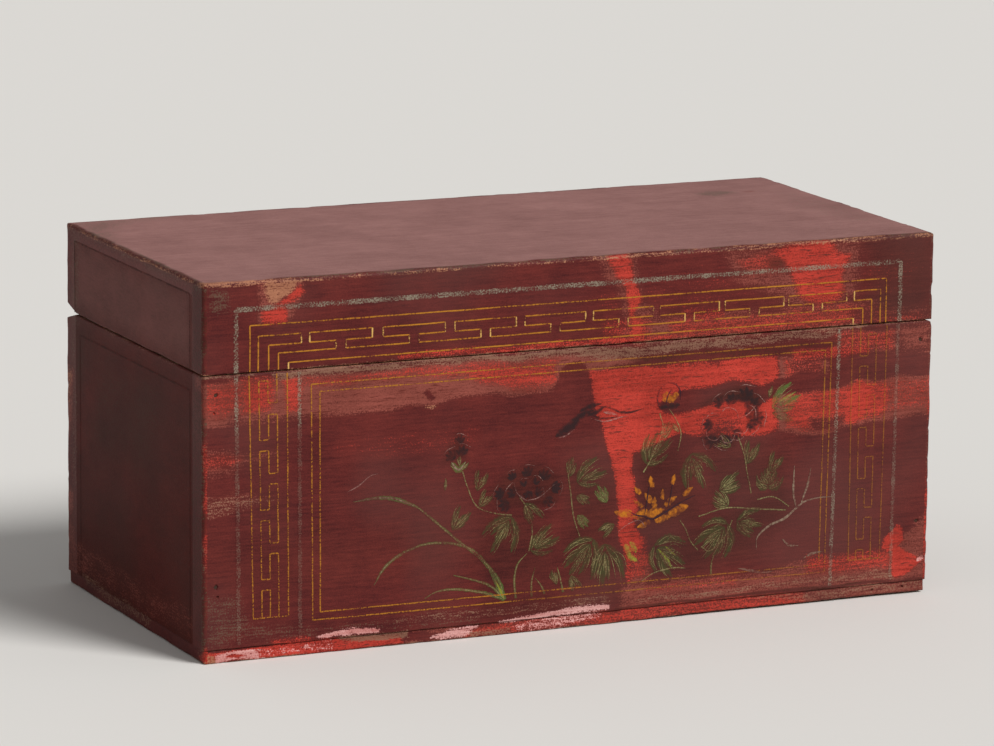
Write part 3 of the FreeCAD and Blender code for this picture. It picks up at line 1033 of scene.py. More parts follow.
@dataclass
class BrushTree:
    """The node tree that turns poly-lines into raised brush strokes."""

    name: str = "brush_stroke"
    inputs: tuple[tuple[str, str], ...] = (
        ("Strokes", "NodeSocketGeometry"),
        ("Line Width", "NodeSocketFloat"),
        ("Paint Height", "NodeSocketFloat"),
        ("Wobble", "NodeSocketFloat"),
        ("Unevenness", "NodeSocketFloat"),
        ("Step", "NodeSocketFloat"),
        ("Sides", "NodeSocketInt"),
        ("Facing", "NodeSocketVector"),
        ("Seed", "NodeSocketFloat"),
        ("Paint", "NodeSocketMaterial"),
    )
    hand_mm: float = 14.0
    bristle_mm: float = 4.0

    def tree(self) -> Tree:
        """Builds the tree, once.

        Returns:
            The geometry node tree, whose inputs are the sizes of the strokes.
        """
        if self.name in bpy.data.node_groups:
            return bpy.data.node_groups[self.name]
        tree = bpy.data.node_groups.new(self.name, "GeometryNodeTree")
        for label, kind in self.inputs:
            tree.interface.new_socket(label, in_out="INPUT", socket_type=kind)
        tree.interface.new_socket("Painted", in_out="OUTPUT", socket_type="NodeSocketGeometry")
        given = add_node(tree, "NodeGroupInput").outputs
        curve = add_node(tree, "GeometryNodeMeshToCurve", inputs={"Mesh": given["Strokes"]})
        evened = add_node(tree, "GeometryNodeResampleCurve", {"mode": "LENGTH"},
                          {"Curve": curve, "Length": given["Step"]})
        sway = add_node(tree, "ShaderNodeTexNoise", {"noise_dimensions": "4D"},
                        {"W": given["Seed"], "Scale": 1 / (MM * self.hand_mm), "Detail": 1.0})
        centred = add_node(tree, "ShaderNodeVectorMath", {"operation": "SUBTRACT"},
                           {0: sway.outputs["Color"], 1: (0.5, 0.5, 0.5)})
        moved = add_node(tree, "ShaderNodeVectorMath", {"operation": "SCALE"},
                         {0: centred, "Scale": given["Wobble"]})
        off_face = add_node(tree, "ShaderNodeVectorMath", {"operation": "PROJECT"},
                            {0: moved, 1: given["Facing"]})
        in_face = add_node(tree, "ShaderNodeVectorMath", {"operation": "SUBTRACT"}, {0: moved, 1: off_face})
        swayed = add_node(tree, "GeometryNodeSetPosition", inputs={"Geometry": evened, "Offset": in_face})
        turned = add_node(tree, "GeometryNodeSetCurveNormal", {"mode": "FREE"},
                          {"Curve": swayed, "Normal": given["Facing"]})
        girth = add_node(tree, "GeometryNodeInputNamedAttribute", {"data_type": "FLOAT"}, {"Name": "girth"})
        bristle = add_node(tree, "ShaderNodeTexNoise", {"noise_dimensions": "4D"},
                           {"W": given["Seed"], "Scale": 1 / (MM * self.bristle_mm), "Detail": 2.0})
        from_middle = add_node(tree, "ShaderNodeMath", {"operation": "SUBTRACT"},
                               {0: bristle.outputs["Fac"], 1: 0.5})
        uneven = add_node(tree, "ShaderNodeMath", {"operation": "MULTIPLY_ADD"},
                          {0: from_middle, 1: given["Unevenness"], 2: 1.0})
        swelled = add_node(tree, "ShaderNodeMath", {"operation": "MULTIPLY"},
                           {0: girth.outputs["Attribute"], 1: uneven})
        ring = add_node(tree, "GeometryNodeCurvePrimitiveCircle",
                        inputs={"Resolution": given["Sides"], "Radius": 0.5})
        place = add_node(tree, "GeometryNodeInputPosition")
        spot = add_node(tree, "ShaderNodeSeparateXYZ", inputs={0: place})
        from_rib = add_node(tree, "ShaderNodeMath", {"operation": "ABSOLUTE"}, {0: spot.outputs["Y"]})
        to_edge = add_node(tree, "ShaderNodeMath", {"operation": "MULTIPLY"}, {0: from_rib, 1: 2.0})
        marked = add_node(tree, "GeometryNodeStoreNamedAttribute", {"data_type": "FLOAT", "domain": "POINT"},
                          {"Geometry": ring, "Name": "across", "Value": to_edge})
        flatness = add_node(tree, "ShaderNodeCombineXYZ",
                            inputs={"X": given["Paint Height"], "Y": given["Line Width"], "Z": 1.0})
        section = add_node(tree, "GeometryNodeTransform", inputs={"Geometry": marked, "Scale": flatness})
        ribbon = add_node(tree, "GeometryNodeCurveToMesh",
                          inputs={"Curve": turned, "Profile Curve": section, "Scale": swelled,
                                  "Fill Caps": True})
        real = add_node(tree, "GeometryNodeRealizeInstances", inputs={0: ribbon})
        painted = add_node(tree, "GeometryNodeSetMaterial",
                           inputs={"Geometry": real, "Material": given["Paint"]})
        add_node(tree, "NodeGroupOutput", inputs={0: painted})
        return tree


@dataclass
class Brushwork:
    """All the strokes of one paint on one side of one body."""

    name: str
    body: Body
    slot: Slot
    paint: Paint
    width: float
    lift: float
    side: Side = Side.FRONT
    wobble: float = 0.5
    unevenness: float = 0.7
    step: float = 1.3
    seed: float = 1.0
    sides: int = 4
    sampling: float = 2.0
    fewest_points: int = 5
    height: float = 0.06
    paths: list[np.ndarray] = field(default_factory=list)
    girths: list[np.ndarray] = field(default_factory=list)

    def line(self, *corners: Point, girth: float = 1.0) -> None:
        """Draws a straight-sided line through its corners."""
        self.paths.append(np.array(corners, float))
        self.girths.append(np.full(len(corners), girth))

    def stroke(self, *path: Point, width: Optional[float] = None, swell: Swell = Swell.LEAF) -> None:
        """Draws one curved stroke.

        Args:
            path: places that the stroke passes through.
            width: its greatest width, or none for the brush's own.
            swell: how its girth changes along it.
        """
        knots = np.array([path[0], *path, path[-1]], float)
        knots[0] = 2 * knots[1] - knots[2]
        knots[-1] = 2 * knots[-2] - knots[-3]
        length = np.linalg.norm(np.diff(knots[1:-1], axis=0), axis=1).sum()
        count = max(self.fewest_points, int(length / self.sampling))
        place = np.linspace(0, len(path) - 1, count)
        piece = np.minimum(place.astype(int), len(path) - 2)
        part = (place - piece)[:, None]
        before, start, end, after = (knots[piece + shift] for shift in range(4))
        bend = 2 * before - 5 * start + 4 * end - after
        twist = 3 * start - before - 3 * end + after
        curve = start + part / 2 * (end - before + part * (bend + part * twist))
        share = np.linspace(0, 1, count)
        profile = {
            Swell.EVEN: np.ones(count),
            Swell.LEAF: 0.12 + 0.88 * np.sin(math.pi * share**0.8) ** 0.8,
            Swell.DRAG: 0.15 + 0.85 * (1 - share) ** 0.7,
            Swell.DAB: 0.45 + 0.55 * np.sin(math.pi * share) ** 0.6,
        }[swell]
        self.paths.append(curve)
        self.girths.append(profile * ((width or self.width) / self.width))

    def solid_places(self, wear: WearMap) -> np.ndarray:
        """Puts all points of the strokes in space, on the lacquer of their side.

        Args:
            wear: the wear map, which knows where the sides stand.

        Returns:
            The places, one row each.
        """
        flat = np.concatenate(self.paths)
        places = np.empty((len(flat), 3))
        places[:, self.side.across] = flat
        places[:, self.side.axis] = wear.plane(self.side) + self.side.way * (self.lift - PAINT_ROOM)
        return places

    def build(self, wear: WearMap) -> Piece:
        """Turns the strokes into one painted piece.

        Args:
            wear: where the lacquer under the paint is worn.

        Returns:
            The finished piece.
        """
        counts = [len(path) for path in self.paths]
        starts = np.cumsum([0] + counts[:-1])
        edges = [
            (start + step, start + step + 1)
            for start, count in zip(starts, counts)
            for step in range(count - 1)
        ]
        mesh = bpy.data.meshes.new(self.name)
        mesh.from_pydata((self.solid_places(wear) * MM).tolist(), edges, [])
        girth = mesh.attributes.new("girth", "FLOAT", "POINT")
        girth.data.foreach_set("value", np.concatenate(self.girths).astype(np.float32))
        piece = piece_of(self.name, mesh)
        facing = [0.0, 0.0, 0.0]
        facing[self.side.axis] = float(self.side.way)
        tree = BrushTree().tree()
        values = {
            "Line Width": self.width * MM,
            "Paint Height": self.height * MM,
            "Wobble": self.wobble * MM,
            "Unevenness": self.unevenness,
            "Step": self.step * MM,
            "Sides": self.sides,
            "Facing": facing,
            "Seed": self.seed,
            "Paint": self.paint.material(),
        }
        modifier = piece.modifiers.new("brush", "NODES")
        modifier.node_group = tree
        for socket in tree.interface.items_tree:
            if socket.in_out == "INPUT" and socket.name in values:
                modifier[socket.identifier] = values[socket.name]
        hardened(piece, modifier)
        piece.data.shade_flat()
        wear.write(piece.data)
        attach(piece, self.body.value)
        LOG.info("brushwork %s: %d strokes, %d faces", self.name, len(self.paths), len(piece.data.polygons))
        return piece


# Brushed lacquer on softwood boards: a dull maroon shine with streaks that run along the board.
LONG_LACQUER = Lacquer("brushed_red_lacquer_along", grain_mm=(48, 3.0, 1.7), fleck_mm=(7.0, 2.0, 0.9))
# The same lacquer on the ends: duller and streaked from front to back, with its varnish painted darker and
# browner as painted shade, as on an end turned from the light.
SHADED_END_LACQUER = Lacquer(
    "brushed_red_lacquer_across_painted_shade",
    grain_mm=(3.0, 26, 9.0),
    fleck_mm=(2.0, 7.0, 0.9),
    # Painted shade: a darker, browner varnish than the front's.
    varnish=Coat("#441611", "#5c1f19"),
    haze="#47241f",
    gloss=0.04,
)
# Planed softwood inside, never finished: dry, brown and stained.
LONG_WOOD = BareWood("aged_softwood_along", grain_mm=(90, 3.0, 2.5))
SIDE_WOOD = BareWood("aged_softwood_across", grain_mm=(3.0, 80, 2.5))
# Forged iron: almost black, with rust in its pits.
IRON = ForgedIron("rusted_forged_iron")

# Gilt size lines: a warm ochre, rubbed thin here and there.
GILT = Paint("ochre_gilt_line", Coat("#7a4518", "#bb7d29"), 0.7, LONG_LACQUER, patchy=1.2, dull=0.45)
# Drier gilt of the chest's own lines: beaded, with the maroon between the beads.
DRY_GILT = Paint("dry_gilt_line", Coat("#7a4518", "#b47828"), 0.62, LONG_LACQUER, 1.1, breakup=1.9, dull=0.45)
# Brighter gilt where it has pooled at the turns of the fret, painted brighter still as a painted glint.
GLINT = Paint("pooled_gilt_glint", Coat("#a8742c", "#dcb066"), 0.6, LONG_LACQUER, 1.0, 9.0, patchy=2.2, dull=0.4)
# Tarnished silver dust: olive-grey specks with soft sides, half of them gone.
SILVER = Paint("tarnished_silver_dust", Coat("#4a3d31", "#8f8473"), 0.56, LONG_LACQUER, 0.9, 9.0, breakup=2.6,
               patchy=1.3, soft=0.35, opacity=0.85, edge=0.3)
# Green washes of the leaves: thin and feathered, so that the maroon shows through.
LEAF = Paint("leaf_green_wash", Coat("#262818", "#3d4526"), 0.84, LONG_LACQUER, 1.6, soft=0.8, opacity=0.72,
             edge=0.45)
# Fresh greens of the tips and of the grass.
SPRIG = Paint("sprig_green_wash", Coat("#31402a", "#516c34"), 0.84, LONG_LACQUER, 1.6, soft=0.9, opacity=0.8,
              edge=0.45)
# Yellow-green touches where the light of the picture falls.
LIME = Paint("lime_green_touch", Coat("#566628", "#8d9c36"), 0.72, LONG_LACQUER, 1.4, patchy=1.4, soft=0.6,
             opacity=0.72, edge=0.4)
# Fine olive hairs of the leaves and stems: dry and chalky.
VEIN = Paint("olive_vein_line", Coat("#514d2b", "#948f60"), 0.56, LONG_LACQUER, 1.0, opacity=0.8, edge=0.3)
# Dark washes of the petals: nearly black on the maroon, with soft sides.
AUBERGINE = Paint("aubergine_petal_wash", Coat("#1a1211", "#2d2021"), 0.84, LONG_LACQUER, 1.8, 7.0, patchy=1.3,
                  soft=0.7, opacity=0.9, edge=0.45)
# Violet-black ink lines drawn last, between the petals.
INK = Paint("violet_ink_line", Coat("#1c141c", "#33262f"), 0.68, LONG_LACQUER, 1.0, opacity=0.85, edge=0.25)
# Thin blush outlines round the petals.
BLUSH = Paint("blush_petal_line", Coat("#6f4a47", "#b08a80"), 0.54, LONG_LACQUER, opacity=0.75, edge=0.3)
# Orange washes of the open flower and its bud: the brightest spots of the front.
ORANGE = Paint("orange_petal_wash", Coat("#7a3516", "#bd731f"), 0.7, LONG_LACQUER, 1.6, 6.0, patchy=1.7,
               soft=0.7, edge=0.45)
# Grey-brown line of the old branch.
BARK = Paint("bark_grey_line", Coat("#5f4b3d", "#93806c"), 0.6, LONG_LACQUER, 1.4, opacity=0.85, edge=0.25)
# Dark lines that frame the side panels: a little blacker than the varnish.
UMBER = Paint("umber_frame_line", Coat("#1d120f", "#2a1b16"), 0.55, SHADED_END_LACQUER, 1.6, soft=0.3, opacity=0.6)


@dataclass(frozen=True)
class FretColumn:
    """An upright fret: its outer lines, where its first turn starts, and the sizes of a turn."""

    left: float
    right: float
    first: float
    pitch: float
    run: float
    hook: float
    turns: int
    lines: Triple
    lean: Point


@dataclass
class FretBorder:
    """The gilt fret lines and the silver bands on the front of the lid and of the chest."""

    gilt_width: float = 0.8
    silver_width: float = 3.1
    gilt_lift: float = 0.10
    gilt_step: float = 0.8
    drop_share: float = 1.1
    drop_rise: float = 0.02
    silver_lift: float = 0.07
    lid_rim: float = 165.0
    rim: float = 163.0
    rows: Triple = (184.75, 179.25, 174.5)
    lid_outer_row: float = 191.0
    lid_inner_row: float = 168.75
    lid_left: tuple[float, ...] = (-201.75, -196.75, -190.5, -184.75, -178.75)
    lid_right: tuple[float, ...] = (198.25, 194.5, 188.75, 183.0, 176.75)
    fret_start: float = -166.0
    fret_pitch: float = 44.6
    fret_tightening: float = 0.57
    fret_turns: int = 8
    end_gap: float = 5.0
    run: float = 38.0
    hook: float = 16.0
    silver_row: float = 200.4
    silver_lid: Point = (-210.0, 207.5)
    silver_posts: tuple[Point, ...] = ((-210.0, -208.2), (-172.0, -171.2), (168.0, 165.0), (206.8, 205.2))
    silver_foot: float = 10.0
    post_girth: float = 0.85
    column_foot: float = 24.0
    column_dip: float = 22.5
    columns: tuple[FretColumn, ...] = (
        FretColumn(-202.2, -179.4, 159.3, 39.8, 33.6, 14.4, 3, (5.7, 11.2, 16.6), (3.0, 1.3)),
        FretColumn(176.6, 199.4, 176.4, 36.6, 30.4, 12.8, 4, (5.4, 10.7, 16.0), (0.3, -2.1)),
    )
    panel_lines: tuple[Path, ...] = (
        ((-163.6, 20.0), (-164.8, 155.3), (163.0, 155.5), (161.2, 18.6)),
        ((-159.0, 24.4), (-159.6, 150.8), (159.0, 151.3), (157.4, 23.2)),
    )

    def fret_place(self, turn: int) -> float:
        """Where a turn of the lid's fret starts; the painter's pitch tightens to the right."""
        return self.fret_start + turn * self.fret_pitch - turn * (turn - 1) / 2 * self.fret_tightening

    def lid_fret(self, gilt: Brushwork) -> None:
        """Draws the fret of the lid, with the nested corners at its two ends.

        Args:
            gilt: the brushwork that gets the lines.
        """
        top, middle, low = self.rows
        left, right = self.lid_left, self.lid_right
        gilt.line((left[0], self.lid_rim), (left[0], self.lid_outer_row), (right[0], self.lid_outer_row),
                  (right[0], self.lid_rim))
        gilt.line((left[1], self.lid_rim), (left[1], top), (self.fret_start - self.end_gap, top),
                  (self.fret_start - self.end_gap, middle), (left[2], middle), (left[2], self.lid_rim))
        fret = [(left[3], self.lid_rim), (left[3], low), (self.fret_start + self.hook, low),
                (self.fret_start + self.hook, middle)]
        for turn in range(self.fret_turns):
            start = self.fret_place(turn)
            following = self.fret_place(turn + 1)
            inner = start + self.run - self.hook
            fret += [(start, middle), (start, top), (start + self.run, top), (start + self.run, middle),
                     (inner, middle), (inner, low)]
            if turn < self.fret_turns - 1:
                fret += [(following + self.hook, low), (following + self.hook, middle)]
        gilt.line(*fret, (right[3], low), (right[3], self.lid_rim))
        end = self.fret_place(self.fret_turns - 1) + self.run + self.end_gap
        gilt.line((right[1], self.lid_rim), (right[1], top), (end, top), (end, middle),
                  (right[2], middle), (right[2], self.lid_rim))
        gilt.line((left[4], self.lid_rim), (left[4], self.lid_inner_row), (right[4], self.lid_inner_row),
                  (right[4], self.lid_rim))

    def column_fret(self, gilt: Brushwork, column: FretColumn) -> None:
        """Draws one upright fret between its two outer lines.

        Args:
            gilt: the brushwork that gets the lines.
            column: the column's place and sizes.
        """
        foot = self.column_foot
        near, middle, far = (column.left + line for line in column.lines)
        lines = [[(column.left, self.rim), (column.left, foot), (column.right, foot), (column.right, self.rim)]]
        if column.first < self.rim:
            dip = column.first - column.pitch + column.run - 2 * column.hook + self.column_dip
            fret = [(far, self.rim), (far, dip), (middle, dip), (middle, column.first), (near, column.first)]
        else:
            fret = [(near, self.rim)]
        for turn in range(column.turns):
            start = column.first - turn * column.pitch
            back = start - column.run
            rise = back + column.hook
            if turn:
                fret += [(middle, start), (near, start)]
            fret += [(near, back), (middle, back), (middle, rise), (far, rise)]
            if turn < column.turns - 1:
                fret += [(far, rise - column.run), (middle, rise - column.run)]
        last = column.first - column.turns * column.pitch
        lines += [[*fret, (far, foot)], [(near, foot), (near, last), (middle, last), (middle, foot)]]
        for line in lines:
            gilt.line(*(self.leaning(column, *corner) for corner in line))

    def leaning(self, column: FretColumn, across: float, height: float) -> Point:
        """Moves a corner of an upright fret to the side, the more the lower it lies.

        Args:
            column: the fret.
            across: the corner's place across the front.
            height: its height.

        Returns:
            The corner as it is painted.
        """
        share = (across - column.left) / (column.right - column.left)
        lean = column.lean[0] + share * (column.lean[1] - column.lean[0])
        return across + lean * (self.rim - height) / self.rim, height

    @staticmethod
    def pooled(lines: Brushwork, drops: Brushwork, longest: float = 7.0) -> None:
        """Goes over the short upright strokes of a fret once more, where the gilt has pooled, in a brighter
        gilt that is partly a painted glint.

        Args:
            lines: the fret's own brushwork.
            drops: the brushwork that gets the second strokes.
            longest: how long a stroke may be to be gone over.
        """
        for path in lines.paths:
            for start, end in zip(path, path[1:]):
                if start[0] == end[0] and abs(start[1] - end[1]) < longest:
                    drops.line(tuple(start), tuple(end))

    def frame_lines(self, gilt: Brushwork) -> None:
        """Draws the double frame round the flower panel."""
        for corners in self.panel_lines:
            gilt.line(*corners, corners[0])

    def build(self, wear: WearMap) -> list[Piece]:
        """Paints the borders of the front.

        Args:
            wear: where the lacquer is worn.

        Returns:
            The painted pieces.
        """
        gilt_lid = Brushwork("lid_gilt_fret", Body.LID, Slot.GILT, GILT, self.gilt_width, self.gilt_lift,
                             step=self.gilt_step)
        silver_lid = Brushwork("lid_silver_band", Body.LID, Slot.GILT, SILVER, self.silver_width,
                               self.silver_lift, seed=2.0, sides=8)
        gilt = Brushwork("chest_gilt_fret", Body.CHEST, Slot.GILT, DRY_GILT, self.gilt_width, self.gilt_lift,
                         step=self.gilt_step, seed=3.0)
        silver = Brushwork("chest_silver_bands", Body.CHEST, Slot.GILT, SILVER, self.silver_width,
                           self.silver_lift, seed=4.0, sides=8)
        drops = Brushwork("lid_gilt_drops", Body.LID, Slot.GILT, GLINT, self.drop_share * self.gilt_width,
                          self.gilt_lift + self.drop_rise, step=self.gilt_step)
        self.lid_fret(gilt_lid)
        self.pooled(gilt_lid, drops)
        left, right = self.silver_lid
        silver_lid.line((left, self.lid_rim), (left, self.silver_row), (right, self.silver_row),
                        (right, self.lid_rim))
        for column in self.columns:
            self.column_fret(gilt, column)
        self.frame_lines(gilt)
        for head, foot in self.silver_posts:
            silver.line((head, self.rim), (foot, self.silver_foot), girth=self.post_girth)
        return [work.build(wear) for work in (gilt_lid, drops, silver_lid, gilt, silver)]


@dataclass(frozen=True)
class Leaf:
    """A cut leaf of the flower panel: its foot, the way it points, its length and its number of lobes."""

    x: float
    z: float
    heading: float
    length: float
    lobes: int
    fresh: bool = False
    spread: float = 19.0


@dataclass(frozen=True)
class Petal:
    """One dab of a flower: its place, the way it points and its size."""

    x: float
    z: float
    heading: float
    size: float


@dataclass
class FlowerPanel:
    """A traditional spray of peonies, leaves, grass and an old branch on the front."""

    wash_lift: float = 0.05
    line_lift: float = 0.12
    layer: float = 0.01
    soft_from: float = 0.5
    leaf_unlike: Triple = (2.4, 1.7, 2.9)
    rib_share: float = 0.34
    lobe_sway: float = 5.0
    lobe_bends: Point = (5.0, -3.0)
    lobe_reach: Triple = (0.94, -0.05, 0.12)
    lobe_width: Triple = (0.16, 0.04, 1.2)
    hair_turns: tuple[float, ...] = (-16, -8, -1, 7, 15)
    hair_near: Point = (0.06, 0.18)
    hair_far: Point = (0.56, 0.16)
    hair_bends: Triple = (2.0, 3.0, -3.0)
    hair_closing: float = 0.7
    hair_width: float = 0.45
    petal_unlike: Point = (3.1, 1.3)
    petal_foot: float = 0.5
    petal_sway: float = 9.0
    petal_turns: tuple[float, ...] = (-42, -12, 16, 44)
    petal_reach: Point = (1.05, -0.004)
    petal_width: float = 0.62
    small_petal: float = 5.0
    rim_turns: tuple[float, ...] = (-50, -28, -5, 18, 40)
    rim_reach: Point = (1.12, 0.05)
    rim_width: float = 0.5
    flame_tail: float = 0.6
    flame_tip: float = 0.7
    flame_bend: Point = (90.0, 0.12)
    flame_beside: Point = (115.0, 0.4)
    flame_widths: Point = (0.7, 0.55)
    stem_width: float = 0.8
    tip_line: float = 0.3
    long_blades: int = 4
    blade_width: float = 2.6
    short_blade_width: float = 2.0
    bud_petals: tuple[Path, ...] = (
        ((53.5, 130), (62.5, 130.5)), ((57.5, 128), (63.5, 133)), ((54, 131.5), (57, 134)))
    bud_width: float = 5.0
    bud_cup: Path = ((52, 125), (58, 125.5), (65, 126))
    cup_width: float = 4.6
    leaves: tuple[Leaf, ...] = (
        Leaf(-5, 87, 82, 14, 3), Leaf(-3, 85, 18, 22, 4), Leaf(-2, 79, -32, 12, 3),
        Leaf(-1, 68, -48, 13, 3, True), Leaf(13, 54, -128, 30, 5), Leaf(18, 52, -88, 30, 4),
        Leaf(20, 70, 118, 15, 3, True), Leaf(26, 60, 205, 13, 3), Leaf(-39, 71, -128, 25, 5),
        Leaf(-31, 47, 30, 22, 5), Leaf(-80, 62, 50, 18, 3), Leaf(-64, 84, 64, 14, 3), Leaf(-83, 83, 88, 14, 1),
        Leaf(-74, 97, 90, 10, 3, False, 60), Leaf(-63, 75, 45, 13, 3), Leaf(-34, 79, -62, 18, 3),
        Leaf(-12, 24, 100, 12, 2), Leaf(-4, 33, -70, 12, 3), Leaf(42, 91, 52, 24, 5), Leaf(72, 99, -72, 24, 5),
        Leaf(89, 72, 28, 19, 4), Leaf(99, 62, 140, 16, 4), Leaf(123, 71, 88, 15, 9), Leaf(123, 79, 58, 15, 3),
        Leaf(108, 85, 66, 17, 3), Leaf(99, 55, -135, 28, 6), Leaf(101, 55, -18, 19, 5),
        Leaf(48, 46, -42, 26, 6), Leaf(122, 119, 20, 22, 4, True), Leaf(122, 117, -10, 18, 3),
        Leaf(122, 124, 75, 9, 2), Leaf(52, 104, 62, 15, 3), Leaf(66, 108, 130, 10, 2),
        Leaf(100, 97, 140, 14, 3),
    )
    peony_spots: tuple[Petal, ...] = (
        Petal(-49, 83, 170, 6), Petal(-46, 76, 205, 7), Petal(-41, 84, 150, 6), Petal(-41, 93, 120, 5),
        Petal(-31, 95, 95, 6), Petal(-20, 92, 60, 6.5), Petal(-24, 82, 20, 5), Petal(-13, 84, 5, 6),
        Petal(-31, 81, 250, 5), Petal(-18, 76, -40, 6), Petal(-34, 88, 110, 4.5), Petal(-26, 89, 70, 4.5),
    )
    bud_spots: tuple[Petal, ...] = (
        Petal(-79, 108, 130, 6.5), Petal(-72, 110, 80, 6.5), Petal(-74, 117, 95, 5),
    )
    orange_spots: tuple[Petal, ...] = (
        Petal(48, 82, 110, 5.5), Petal(62, 82, 80, 5), Petal(39, 78, 140, 5), Petal(46, 73, 130, 6),
        Petal(55, 74, 95, 5), Petal(71, 74, 40, 6), Petal(30, 66, 175, 9), Petal(40, 64, 200, 9),
        Petal(50, 63, 20, 9), Petal(65, 63, 25, 10), Petal(40, 70, 150, 6), Petal(50, 69, 95, 6),
        Petal(60, 69, 40, 7), Petal(43, 58, 205, 7), Petal(55, 59, 15, 8),
    )
    coral_spots: tuple[Petal, ...] = (
        Petal(113, 123, 60, 9), Petal(116, 115, 10, 8), Petal(107, 129, 100, 9), Petal(110, 118, 40, 6),
        Petal(112, 110, -30, 7), Petal(83, 113, 180, 6), Petal(85, 103, 215, 8), Petal(94, 102, 265, 8),
        Petal(98, 127, 110, 7), Petal(90, 126, 140, 6), Petal(103, 106, -70, 6),
    )
    grass: tuple[Path, ...] = (
        ((-45, 21), (-49, 33), (-60, 46), (-77, 60), (-92, 73), (-104, 82), (-120, 86.5), (-138, 86)),
        ((-46, 21), (-55, 40), (-66, 52), (-80, 57), (-96, 57.5), (-110, 53), (-120, 46), (-126, 37)),
        ((-45, 21), (-53, 29), (-64, 34), (-77, 38)),
        ((-45, 21), (-58, 26), (-74, 29.5), (-87, 29.5), (-95, 26)),
        ((-38, 21), (-39, 32), (-37, 41), (-31, 47)), ((-28, 21), (-28, 30), (-26, 38)),
        ((-20, 22), (-22, 27), (-26, 32)), ((-8, 22), (-10, 30), (-12, 37)), ((87, 23), (87, 30), (89, 37)),
    )
    grass_tips: Strokes = (
        (3.0, ((-100, 79.5), (-112, 85), (-124, 87), (-139, 86))),
        (2.3, ((-98, 57.3), (-111, 52.6), (-120, 46), (-126.5, 36.5))),
        (4.2, ((-79, 104), (-74.5, 99), (-70, 103.5))),
    )
    stems: tuple[Path, ...] = (
        ((-72, 98), (-69, 89), (-63, 77), (-52, 72), (-41, 70)), ((-36, 80), (-31, 72), (-28, 60), (-30, 48)),
        ((-6, 92), (-4, 80), (-2, 66), (2, 54)), ((58, 124), (63, 117), (66, 109), (64, 99)),
        ((52, 122), (54, 112), (47, 96), (42, 88)), ((78, 59), (96, 62.5), (118, 60), (135, 58)),
        ((66, 58), (70, 52), (73, 45), (78, 39)), ((103, 104), (107, 94), (109, 84), (112, 70)),
        ((116, 66), (127, 66.5), (137, 60)), ((70, 29), (62, 30), (50, 28), (42, 24)),
        ((100, 55), (95, 45), (86, 38), (80, 41)),
    )
    branch: tuple[Path, ...] = (
        ((116, 36), (117, 44), (125, 50), (134, 53), (141, 58), (147, 62), (156, 63.5), (167, 63.5)),
        ((142, 59), (140, 68), (140, 84)), ((145, 61), (149, 72), (151, 82)),
        ((133, 41), (137, 37), (144, 36)), ((104, 26), (112, 24), (120, 22), (127, 22)),
        ((147, 28), (153, 30.5), (160, 31)),
    )
    touches: Strokes = (
        (5.0, ((31, 47), (33, 43), (35, 39))), (5.0, ((34, 48), (37, 44), (38, 41))),
        (4.0, ((32, 41), (36, 38), (39, 36))), (2.4, ((52, 42), (58, 36), (61, 30))),
        (2.2, ((57, 43), (64, 37))), (2.0, ((126, 122), (134, 125), (140, 128))),
        (1.6, ((-45, 21), (-48, 27), (-52, 34))),
    )
    wings: Strokes = (
        (6.5, ((-14, 113.5), (-8, 116.5), (-2, 121), (4, 127))), (4.5, ((-4, 121), (3, 125), (10, 127))),
        (3.6, ((1, 127), (8, 129.5), (15, 130.5))), (3.4, ((5, 124), (12, 126), (18, 129))),
        (1.5, ((13, 129), (21, 127.5), (27, 124.5), (34, 124), (42, 125.5))),
        (1.2, ((9, 124), (17, 121.5), (26, 122.5))),
    )
    pale_lines: Strokes = (
        (1.0, ((-15, 112), (-8, 113.5), (-2, 117))), (1.8, ((16, 125.5), (21, 124.5), (25, 123))),
        (0.9, ((8, 122.5), (17, 120), (27, 121.5), (32, 122))),
        (0.7, ((26, 54), (32, 58), (40, 60), (44, 55))),
        (0.8, ((-143, 92), (-136, 95), (-129, 100), (-124, 101))), (0.7, ((-33, 78), (-38, 83), (-40, 89))),
        (0.7, ((-31, 78), (-24, 79), (-14, 86))), (0.8, ((82, 110), (83, 105), (88, 103), (92, 106))),
        (0.8, ((92, 106), (94, 101.5), (99, 102), (101, 107))), (0.8, ((81, 116), (85, 119.5), (91, 118))),
        (0.8, ((91, 118), (95, 122), (101, 120), (103, 115))), (0.7, ((101, 107), (107, 106), (110, 110))),
        (0.7, ((103, 115), (109, 117), (114, 122))),
    )
    dark_lines: Strokes = (
        (1.2, ((33, 66), (38, 63), (43, 62), (48, 60), (54, 62), (60, 65), (68, 69), (76, 72))),
        (0.8, ((46, 80), (45, 74), (44, 67), (43, 62))), (0.8, ((61, 80), (60, 73), (58, 66))),
        (0.8, ((52, 125), (50.5, 130), (52, 136), (56, 139))),
        (0.8, ((57, 139.5), (62, 138.5), (65, 134), (65, 129))), (0.8, ((56, 127), (57, 132), (60, 136))),
    )

    def works(self) -> dict[str, Brushwork]:
        """Takes up the brushes of the panel, each with its paint.

        Returns:
            The brushes by name.
        """
        made = {}
        table = (
            ("leaf", LEAF, 3.0, self.wash_lift, 0),
            ("sprig", SPRIG, 3.0, self.wash_lift, 1),
            ("lime", LIME, 3.0, self.wash_lift, 4),
            ("vein", VEIN, 0.55, self.line_lift, 0),
            ("petal", AUBERGINE, 3.0, self.wash_lift, 2),
            ("ink", INK, 0.7, self.line_lift, 3),
            ("outline", BLUSH, 0.6, self.line_lift, 2),
            ("orange", ORANGE, 3.0, self.wash_lift, 3),
            ("bark", BARK, 1.5, self.line_lift, 1),
        )
        for number, (name, paint, width, lift, rank) in enumerate(table):
            made[name] = Brushwork(f"flower_{name}_strokes", Body.CHEST, Slot.FLOWERS, paint, width,
                                   lift + self.layer * rank, wobble=0.6, unevenness=0.9, step=1.0,
                                   seed=10.0 + number, sampling=1.4,
                                   sides=8 if paint.soft > self.soft_from else 4)
        return made

